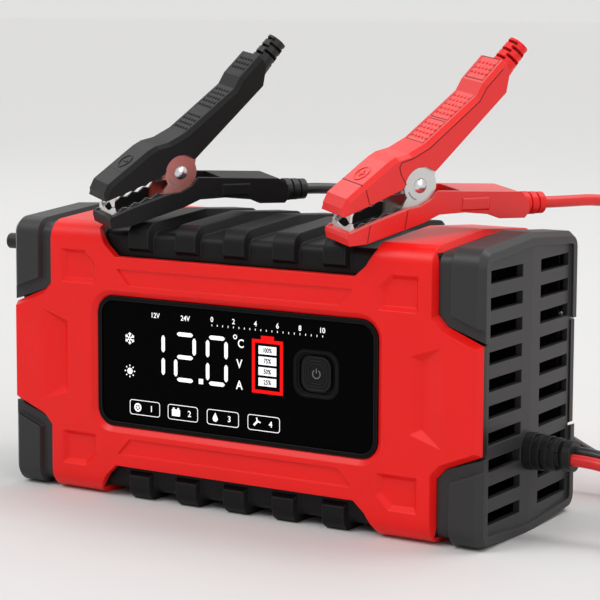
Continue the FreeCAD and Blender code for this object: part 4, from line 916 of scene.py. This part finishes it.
LEADS = {
    "red": (-1, RED_START_ROUTE, RED_END_ROUTE, 2, 0.731),
    "black": (1, BLACK_START_ROUTE, BLACK_END_ROUTE, 0, 0.810),
}


class CHARGER_OT_finish_nodes(bpy.types.Operator):
    """Gives every CAD node its finish"""
    bl_idname = "charger.finish_nodes"
    bl_label = "Finish the casing and inner parts"

    def execute(self, context):
        make_materials()
        for material, nodes in NODE_FINISH.items():
            for node in nodes:
                finish_node(node, material)
        for colour in JAW_FINISH:
            for part, material in clamp_finish(colour).items():
                finish_node("%s_clamp_%s" % (colour, part), material)
        return {"FINISHED"}


class CHARGER_OT_leads(bpy.types.Operator):
    """Lays the two output leads with their put-away coils"""
    bl_idname = "charger.leads"
    bl_label = "Lay the leads"

    def execute(self, context):
        for colour, (side, start_route, end_route, layer, length) in LEADS.items():
            points = lead_points(colour, side, start_route, end_route, layer)
            piece = lead_curve(colour + "_lead", points, "lead_" + colour)
            nodes = [colour + end for end in ("_lead_from_charger", "_lead_coil", "_lead_to_clamp")]
            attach(piece, "root")
            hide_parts(*nodes)
            record_slot(nodes[0])
            tuple(v * MM for v in points[0])
        return {"FINISHED"}


class CHARGER_OT_display(bpy.types.Operator):
    """Puts the lit digits, signs and plain figures on the display"""
    bl_idname = "charger.display"
    bl_label = "Light the display"

    def execute(self, context):
        settings = context.scene.charger_display
        thick = settings.print_height / MM

        def put(name, mesh, material="print_white"):
            new_piece("display_" + name, mesh, material, "root", "digit_module")

        put("digits", lit_digits(thick, settings.digit_height / MM, settings.stroke / MM))
        put("signs", pictograms(thick))
        put("battery_sign", battery_sign(thick), "print_red")
        figures = [
            ("12V", (-33.5, 18.3), 1.9, 0.95), ("24V", (-20.5, 18.3), 1.9, 0.95),
            ("C", (3.3, 11.3), 3.1, 0.9), ("V", (2.7, 4.0), 3.2, 0.9), ("A", (2.7, -3.6), 3.2, 0.9),
        ]
        figures += [(str(i + 1), (x, -16.4), 2.2, 1.0) for i, x in enumerate((-35.6, -18.8, -1.6, 15.8))]
        figures += [(str(2 * i), (-9.0 + 9.2 * i, 18.9), 1.9, 0.95) for i in range(6)]
        meshes = [text_mesh("figure", *figure[:3], thick, figure[3], 0.012) for figure in figures]
        meshes.append(mesh_from("degree", lambda bm: add_plate(
            bm, circle_points(0.9, 13.5, 0.85), WINDOW_FRONT, thick, [circle_points(0.9, 13.5, 0.5)])))
        tree, sockets = tick_tree(materials["print_white"])
        ticks = {"Count": 21, "Step": (2.3 * MM, 0, 0), "Size": (0.25 * MM, thick * MM, 0.7 * MM),
                 "Start": (-9.0 * MM, (WINDOW_FRONT - thick / 2) * MM, (MID_HEIGHT + 16.8) * MM)}
        meshes.append(baked(tree, sockets, ticks))
        put("figures", join_meshes("display_figures", meshes))
        bars = {"Count": settings.bars, "Step": (0, 0, -BAR_PITCH * MM),
                "Size": (2 * BAR_HALF[0] * MM, thick * MM, 2 * BAR_HALF[1] * MM),
                "Start": ((BATTERY[0] + BATTERY[1]) / 2 * MM, (WINDOW_FRONT - thick / 2) * MM,
                          (MID_HEIGHT + BAR_TOP) * MM)}
        put("charge_bars", baked(tree, sockets, bars))
        shares = []
        for i in range(settings.bars):
            share = "%d%%" % (100 - 100 * i // settings.bars)
            place = ((BATTERY[0] + BATTERY[1]) / 2, BAR_TOP - i * BAR_PITCH)
            shares.append(text_mesh("share", share, place, 1.75, 2.2 * thick, 0.8, 0.02))
        put("charge_figures", join_meshes("display_charge_figures", shares), "print_dark")
        return {"FINISHED"}


BUTTON = (34.1, 3.2)
RECESS_STEPS = ((1.7, (9.3, 8.5, 4.9), (8.3, 7.7, 4.5)), (0.9, (8.3, 7.7, 4.5), (7.3, 7.1, 4.2)))
FACE_STEPS = ((0.16, (4.5, 4.75, 3.0), (4.1, 4.35, 2.7)), (0.16, (3.4, 3.6, 2.4), (3.1, 3.3, 2.2)))
BUTTON_FACE = FRONT + 2.65
TRAY = FRONT + 3.9


class CHARGER_OT_button(bpy.types.Operator):
    """Steps the button's recess and face and puts a power sign on the button"""
    bl_idname = "charger.button"
    bl_label = "Shape the button"

    def execute(self, context):
        cx, cz = BUTTON

        def steps(rings, y_back):
            """Plates with round corners, each a height, an outer and an inner outline."""
            def build(bm):
                for thick, outer, inner in rings:
                    add_plate(bm, ring_points(cx, cz, *outer, 10), y_back, thick,
                              [ring_points(cx, cz, *inner, 10)])
            return build

        def sign(bm):
            centre = Vector((cx, BUTTON_FACE, cz + MID_HEIGHT))
            ring_on(bm, centre, Vector((1, 0, 0)), Vector((0, 0, 1)), 1.5, 0.36, 0.1, 125, 415, 30)
            top = [centre + Vector((0, 0, 0.3)), centre + Vector((0, 0, 2.0))]
            line_on(bm, top, Vector((0, -1, 0)), 0.36, 0.1)

        new_piece("button_recess", mesh_from("button_recess", steps(RECESS_STEPS, TRAY)),
                  "frame_black", "root", "display_frame")
        new_piece("button_steps", mesh_from("button_steps", steps(FACE_STEPS, BUTTON_FACE)),
                  "button_rubber", "mode_button", "mode_button")
        new_piece("button_sign", scaled_mesh("button_sign", sign, Matrix.Scale(MM, 4)), "sign_grey",
                  "mode_button", "mode_button")
        return {"FINISHED"}


RELIEF = (101.5, 2.75, 4, 6.6, 5.4, 1.1, RELIEF_Z)
GLAND = (-101.5, -4.375, 4, 5.8, 3.1, 0.9, 87.2)
BRIDGE_SPAN = 100.0


class CHARGER_OT_reliefs(bpy.types.Operator):
    """Bridges the grooves of the strain reliefs, so that their slots take turns"""
    bl_idname = "charger.reliefs"
    bl_label = "Bridge the strain reliefs"

    def execute(self, context):
        for name, node, (start, step, count, big, small, drop, height) in (
                ("relief_bridges", "output_strain_relief", RELIEF), ("gland_bridges", "mains_gland", GLAND)):
            def build(bm):
                for i in range(count):
                    outer = big + (small - big) * (i + 1) / (count + 1)
                    half = abs(step) * 0.45 / 2
                    middle = start + i * step + math.copysign(half, step)
                    for side in (0, 180):
                        base = 90 * (i % 2) + side + 20
                        stations = []
                        for k in range(9):
                            angle = math.radians(base + BRIDGE_SPAN * (k / 8 - 0.5))
                            out = Vector((0, math.cos(angle), math.sin(angle)))
                            place = Vector((middle, 0, height)) + out * (outer - drop / 2 - 0.1)
                            stations.append((place, Vector((half + 0.05, 0, 0)), out * (drop / 2)))
                        sweep(bm, stations)
            new_piece(name, scaled_mesh(name, build, Matrix.Scale(MM, 4)), "boot_black", "root", node)
        return {"FINISHED"}


PADS = [
    ((28.2, 34.3), (35.3, 40.2), 4),
    ((37.4, 42.0), (46.4, 49.6), 5),
    ((50.3, 55.7), (55.6, 61.4), 3),
]
PAD_HALF = 5.4
EAR_FACE = 1.5
ACROSS = Vector((0, 1, 0))
SLOPE = Vector((0.783, 0, 0.622))
SLOPE_OUT = Vector((-0.622, 0, 0.783))
TIP_SEAM = Vector((4.0, 8.0, 20.05))
EMBLEM = Vector((7.6, 8.0, 22.9))
EMBLEM_R = 3.1
SEAM_WIDTH = 0.34
SEAM_RISE = 0.05
UPPER_SIDE_SEAM = [(20.6, 19.9), (18.2, 23.6), (17.5, 26.0), (18.2, 27.6), (22.6, 28.9), (28.8, 32.2),
                   (36.5, 38.7), (47.6, 48.2), (49.9, 52.6), (56.0, 59.2)]
TIP_SIDE_SEAM = [(5.0, 18.6), (6.8, 13.5)]
LOWER_SIDE_SEAMS = [[(7.6, 6.4), (6.9, 0.4)], [(21.9, 11.1), (21.3, 4.6)]]
LABEL_FIELD = [(43.5, 10.2), (55.0, 10.2), (55.0, 14.8), (43.5, 14.8)]
RAIL = [(0.2, 3.75), (8.2, 6.85), (22.4, 11.45)]


def on_side(points, v):
    return [Vector((u, v, w)) for u, w in points]


def side_seams(bm, seams):
    """Seams on the near and the far side of a lever."""
    for v, normal in ((0.0, -ACROSS), (CLAMP_WIDTH, ACROSS)):
        for seam in seams:
            line_on(bm, on_side(seam, v), normal, SEAM_WIDTH, SEAM_RISE)


def upper_lines(bm):
    """The seams on the upper lever, on its top and both its sides."""
    side_seams(bm, (UPPER_SIDE_SEAM, TIP_SIDE_SEAM))
    line_on(bm, [TIP_SEAM - ACROSS * 6.6, TIP_SEAM + ACROSS * 6.6], SLOPE_OUT, SEAM_WIDTH, SEAM_RISE)
    for side in (-1, 1):
        top = TIP_SEAM + ACROSS * (6.6 * side)
        edge = Vector((TIP_SIDE_SEAM[0][0], 8.0 + 8.0 * side, TIP_SIDE_SEAM[0][1]))
        normal = (edge - top).cross(SLOPE).normalized() * side
        line_on(bm, [top, edge], -normal, SEAM_WIDTH, SEAM_RISE)
    for start, end, rows in PADS:
        a, b = Vector((start[0], 8.0, start[1])), Vector((end[0], 8.0, end[1]))
        along = (b - a).normalized()
        out = along.cross(ACROSS)
        a, b = a - along * 0.9, b + along * 0.9
        corners = [a - ACROSS * PAD_HALF, b - ACROSS * PAD_HALF, b + ACROSS * PAD_HALF, a + ACROSS * PAD_HALF]
        line_on(bm, corners, out, SEAM_WIDTH, SEAM_RISE, True)


def polarity_sign(plus):
    """A ring with a plus or a minus in it, on the sloping top of the front block."""
    def build(bm):
        ring_on(bm, EMBLEM, SLOPE, ACROSS, EMBLEM_R, 0.5, 0.22)
        line_on(bm, [EMBLEM - ACROSS * 1.5, EMBLEM + ACROSS * 1.5], SLOPE_OUT, 0.7, 0.22)
        if plus:
            line_on(bm, [EMBLEM - SLOPE * 1.5, EMBLEM + SLOPE * 1.5], SLOPE_OUT, 0.7, 0.24)
    return build


def lower_lines(bm):
    side_seams(bm, LOWER_SIDE_SEAMS)


def lower_lips(bm):
    """The stepped lips along the lower lever's jaw edges."""
    for v, width, rise in ((0.3, 0.5, 0.3), (1.0, 0.5, 0.5)):
        for place in (v, CLAMP_WIDTH - v):
            for a, b in zip(on_side(RAIL, place), on_side(RAIL, place)[1:]):
                along = (b - a).normalized()
                line_on(bm, [a, b], Vector((-along.z, 0, along.x)), width, rise)


def raised_fields(bm):
    """The raised fields on the lower lever's sides."""
    for side in (-1, 1):
        field = on_side(LABEL_FIELD, 8.0 + 8.0 * side)
        inner = [p + Vector((0.5 if p.x < 49 else -0.5, 0.35 * side, 0.5 if p.z < 12 else -0.5))
                 for p in field]
        outer_ring = [bm.verts.new(p) for p in field]
        inner_ring = [bm.verts.new(p) for p in inner]
        for k in range(4):
            bm.faces.new((outer_ring[k], outer_ring[(k + 1) % 4], inner_ring[(k + 1) % 4], inner_ring[k]))
        bm.faces.new(inner_ring)
        bm.faces.new(outer_ring)


def ear_marks(bm):
    """The pressed crescent beside the rivet."""
    for v in (EAR_FACE, CLAMP_WIDTH - EAR_FACE):
        ring_on(bm, Vector((PIVOT.x, v, PIVOT.z)), Vector((1, 0, 0)), Vector((0, 0, 1)),
                4.9, 0.4, 0.12, 205, 255, 12)


BOOT_BORE = ((59.2, 57.3), (66.6, 66.3), 2.33)


def boot_bore_shade(bm):
    """Painted shade inside the empty cable boot: a dark sleeve in shallow rings."""
    (u0, w0), (u1, w1), radius = BOOT_BORE
    a, b = Vector((u0, 8.0, w0)), Vector((u1, 8.0, w1))
    run = b - a
    out = run.normalized().cross(ACROSS)
    loops = []
    for i in range(13):
        r = radius - (0.12 if i % 2 else 0.0)
        loops.append([bm.verts.new(a + run * (i / 12) + (ACROSS * math.cos(math.radians(15 * k))
                                   + out * math.sin(math.radians(15 * k))) * r) for k in range(24)])
    for first, second in zip(loops, loops[1:]):
        for k in range(24):
            bm.faces.new((first[k], first[(k + 1) % 24], second[(k + 1) % 24], second[k]))
    bm.faces.new(loops[0])
    bm.faces.new(loops[-1])


class CHARGER_OT_clamp_details(bpy.types.Operator):
    """Adds the grip dots, seams, lips and polarity signs to the clamps"""
    bl_idname = "charger.clamp_details"
    bl_label = "Detail the clamps"

    def execute(self, context):
        settings = context.scene.charger_clamps
        for colour in ("red", "black"):
            plastic = "clamp_%s_plastic" % colour
            seam = "seam_" + colour
            top = colour + "_clamp_top"
            upper = colour + "_clamp_upper_lever"
            lower = colour + "_clamp_lower_lever"
            tree, sockets = dot_tree(materials[plastic])
            clamp = clamp_matrix(colour)
            pads = []
            for start, end, rows in PADS:
                a = Vector((start[0], 0, start[1]))
                b = Vector((end[0], 0, end[1]))
                along = (b - a).normalized()
                out = along.cross(ACROSS)
                middle = (a + b) / 2 + ACROSS * CLAMP_WIDTH / 2
                turn = Matrix((along, ACROSS, out)).transposed().to_4x4()
                mesh = baked(tree, sockets, {"Rows": rows, "Columns": 5, "Pitch": settings.dot_pitch,
                                             "Radius": settings.dot_radius})
                mesh.transform(clamp @ Matrix.Translation(middle) @ turn @ Matrix.Scale(1 / MM, 4))
                pads.append(mesh)

            def add(name, build, material, body, node):
                new_piece(colour + name, scaled_mesh(colour + name, build, clamp), material, body, node)

            dots = colour + "_clamp_grip_dots"
            new_piece(dots, join_meshes(dots, pads), plastic, top, upper)
            add("_clamp_polarity_sign", polarity_sign(colour == "red"), plastic, top, upper)
            add("_clamp_upper_seams", upper_lines, seam, top, upper)
            add("_clamp_lower_seams", lower_lines, seam, "root", lower)
            # The lips' material carries a painted highlight.
            add("_clamp_lower_lips", lower_lips, "lip_" + colour, "root", lower)
            add("_clamp_raised_fields", raised_fields, plastic, "root", lower)
            # Painted shade: a dark copy of the clamp's colour lines the bore of the empty cable boot.
            add("_clamp_boot_lining", boot_bore_shade, "seam_" + colour, top, colour + "_clamp_upper_boot")
            add("_clamp_ear_marks", ear_marks, "mark_steel", "root", colour + "_clamp_lower_jaw")
        return {"FINISHED"}


CAMERA_PLACE = (397.6, -641.25, 181.5)
CAMERA_ROLL = 0.193
CAMERA_SHIFT = (0.0174, -0.0917)


LIGHT_AIM = Vector((0, 0, 0.1))


def lamp(name, data, place, aim):
    """Puts a lamp at a place, turned to what it lights."""
    item = linked(name, data)
    item.location = place
    item.rotation_euler = (aim - Vector(place)).to_track_quat("-Z", "Y").to_euler()


def area_lamp(name, place, size, power):
    data = bpy.data.lights.new(name, "AREA")
    data.shape = "RECTANGLE"
    data.size, data.size_y = size, size
    data.energy = power
    lamp(name, data, place, LIGHT_AIM)


def sun_lamp(name, place, power, width):
    """A distant lamp, so that the floor is lit evenly as far as it is seen."""
    data = bpy.data.lights.new(name, "SUN")
    data.energy = power
    data.angle = math.radians(width)
    lamp(name, data, place, Vector())


def floor_material(colour):
    f = Finish("floor_paper")
    shade = f.noise(3.0, 2.0)
    f.set(Base_Color=f.blend(shade, rgba(colour, 0.99), rgba(colour, 1.01)), Roughness=shade * 0.05 + 0.7)
    f.set(Specular_IOR_Level=0.2)


class CHARGER_OT_stage(bpy.types.Operator):
    """Sets the floor, the lamps and the camera"""
    bl_idname = "charger.stage"
    bl_label = "Set the stage"

    def execute(self, context):
        settings = context.scene.charger_stage
        mesh = mesh_from("floor", lambda bm: bmesh.ops.create_grid(bm, x_segments=1, y_segments=1, size=20.0))
        floor_material(context.scene.charger_colours.floor)
        mesh.materials.append(materials["floor_paper"])
        floor = linked("floor", mesh)
        power = settings.light
        sun_lamp("sun_front", (-0.9, -1.3, 1.9), 1.2 * power, 30)
        sun_lamp("sun_right", (1.5, -0.7, 0.8), 0.7 * power, 50)
        sun_lamp("sun_back", (0.2, 1.2, 2.2), 0.7 * power, 40)
        area_lamp("gloss_right", (0.75, 0.45, 1.35), 0.55, 5 * power)
        area_lamp("gloss_left", (-1.2, 0.5, 1.0), 0.7, 1.8 * power)
        world = bpy.data.worlds.new("studio")
        world.use_nodes = True
        context.scene.world = world
        t = Tree(world.node_tree)
        world.node_tree.nodes.clear()
        path = t.add("ShaderNodeLightPath", {}, {})
        seen = (t.out(path, "Is Camera Ray") + t.out(path, "Is Glossy Ray")).clamp()
        backdrop = t.add("ShaderNodeBackground", {}, {"Color": (0.76, 0.755, 0.745, 1), "Strength": 1.0})
        fill = t.add("ShaderNodeBackground", {}, {"Color": (1, 1, 1, 1), "Strength": 0.42})
        both = t.add("ShaderNodeMixShader", {}, {0: seen, 1: t.out(fill), 2: t.out(backdrop)})
        t.add("ShaderNodeOutputWorld", {}, {0: t.out(both)})
        context.scene.view_settings.view_transform = "Standard"
        a = math.radians(settings.azimuth)
        e = math.radians(settings.elevation)
        r = math.radians(CAMERA_ROLL)
        back = Vector((math.sin(a) * math.cos(e), -math.cos(a) * math.cos(e), math.sin(e)))
        level = Vector((math.cos(a), math.sin(a), 0))
        upright = back.cross(level)
        right = level * math.cos(r) + upright * math.sin(r)
        up = back.cross(right)
        data = bpy.data.cameras.new("camera")
        data.lens = settings.lens
        data.sensor_width = 36
        data.shift_x, data.shift_y = CAMERA_SHIFT
        data.clip_end = 100
        camera = linked("camera", data)
        turn = Matrix((right, up, back)).transposed().to_4x4()
        camera.matrix_world = Matrix.Translation(Vector(CAMERA_PLACE) * MM) @ turn
        context.scene.camera = camera
        return {"FINISHED"}


OPERATORS = (CHARGER_OT_finish_nodes, CHARGER_OT_leads, CHARGER_OT_display, CHARGER_OT_button,
             CHARGER_OT_reliefs, CHARGER_OT_clamp_details, CHARGER_OT_stage)


class CHARGER_PT_panel(bpy.types.Panel):
    """Shows the charger's settings and the buttons of its operators"""
    bl_label = "Battery charger"
    bl_idname = "CHARGER_PT_panel"
    bl_space_type = "VIEW_3D"
    bl_region_type = "UI"
    bl_category = "Charger"

    def draw(self, context):
        for group in ("charger_colours", "charger_display", "charger_clamps", "charger_stage"):
            settings = getattr(context.scene, group)
            for key in settings.__annotations__:
                self.layout.prop(settings, key)
        for operator in OPERATORS:
            self.layout.operator(operator.bl_idname)


GROUPS = {"charger_colours": ColourSettings, "charger_display": DisplaySettings,
          "charger_clamps": ClampSettings, "charger_stage": StageSettings}


def register():
    for cls in tuple(GROUPS.values()) + OPERATORS + (CHARGER_PT_panel,):
        bpy.utils.register_class(cls)
    for name, group in GROUPS.items():
        setattr(bpy.types.Scene, name, PointerProperty(type=group))


def unregister():
    for name in GROUPS:
        delattr(bpy.types.Scene, name)
    for cls in reversed(tuple(GROUPS.values()) + OPERATORS + (CHARGER_PT_panel,)):
        bpy.utils.unregister_class(cls)


def main():
    register()
    for operator in OPERATORS:
        group, call = operator.bl_idname.split(".")
        getattr(getattr(bpy.ops, group), call)()


if __name__ == "__main__":
    main()
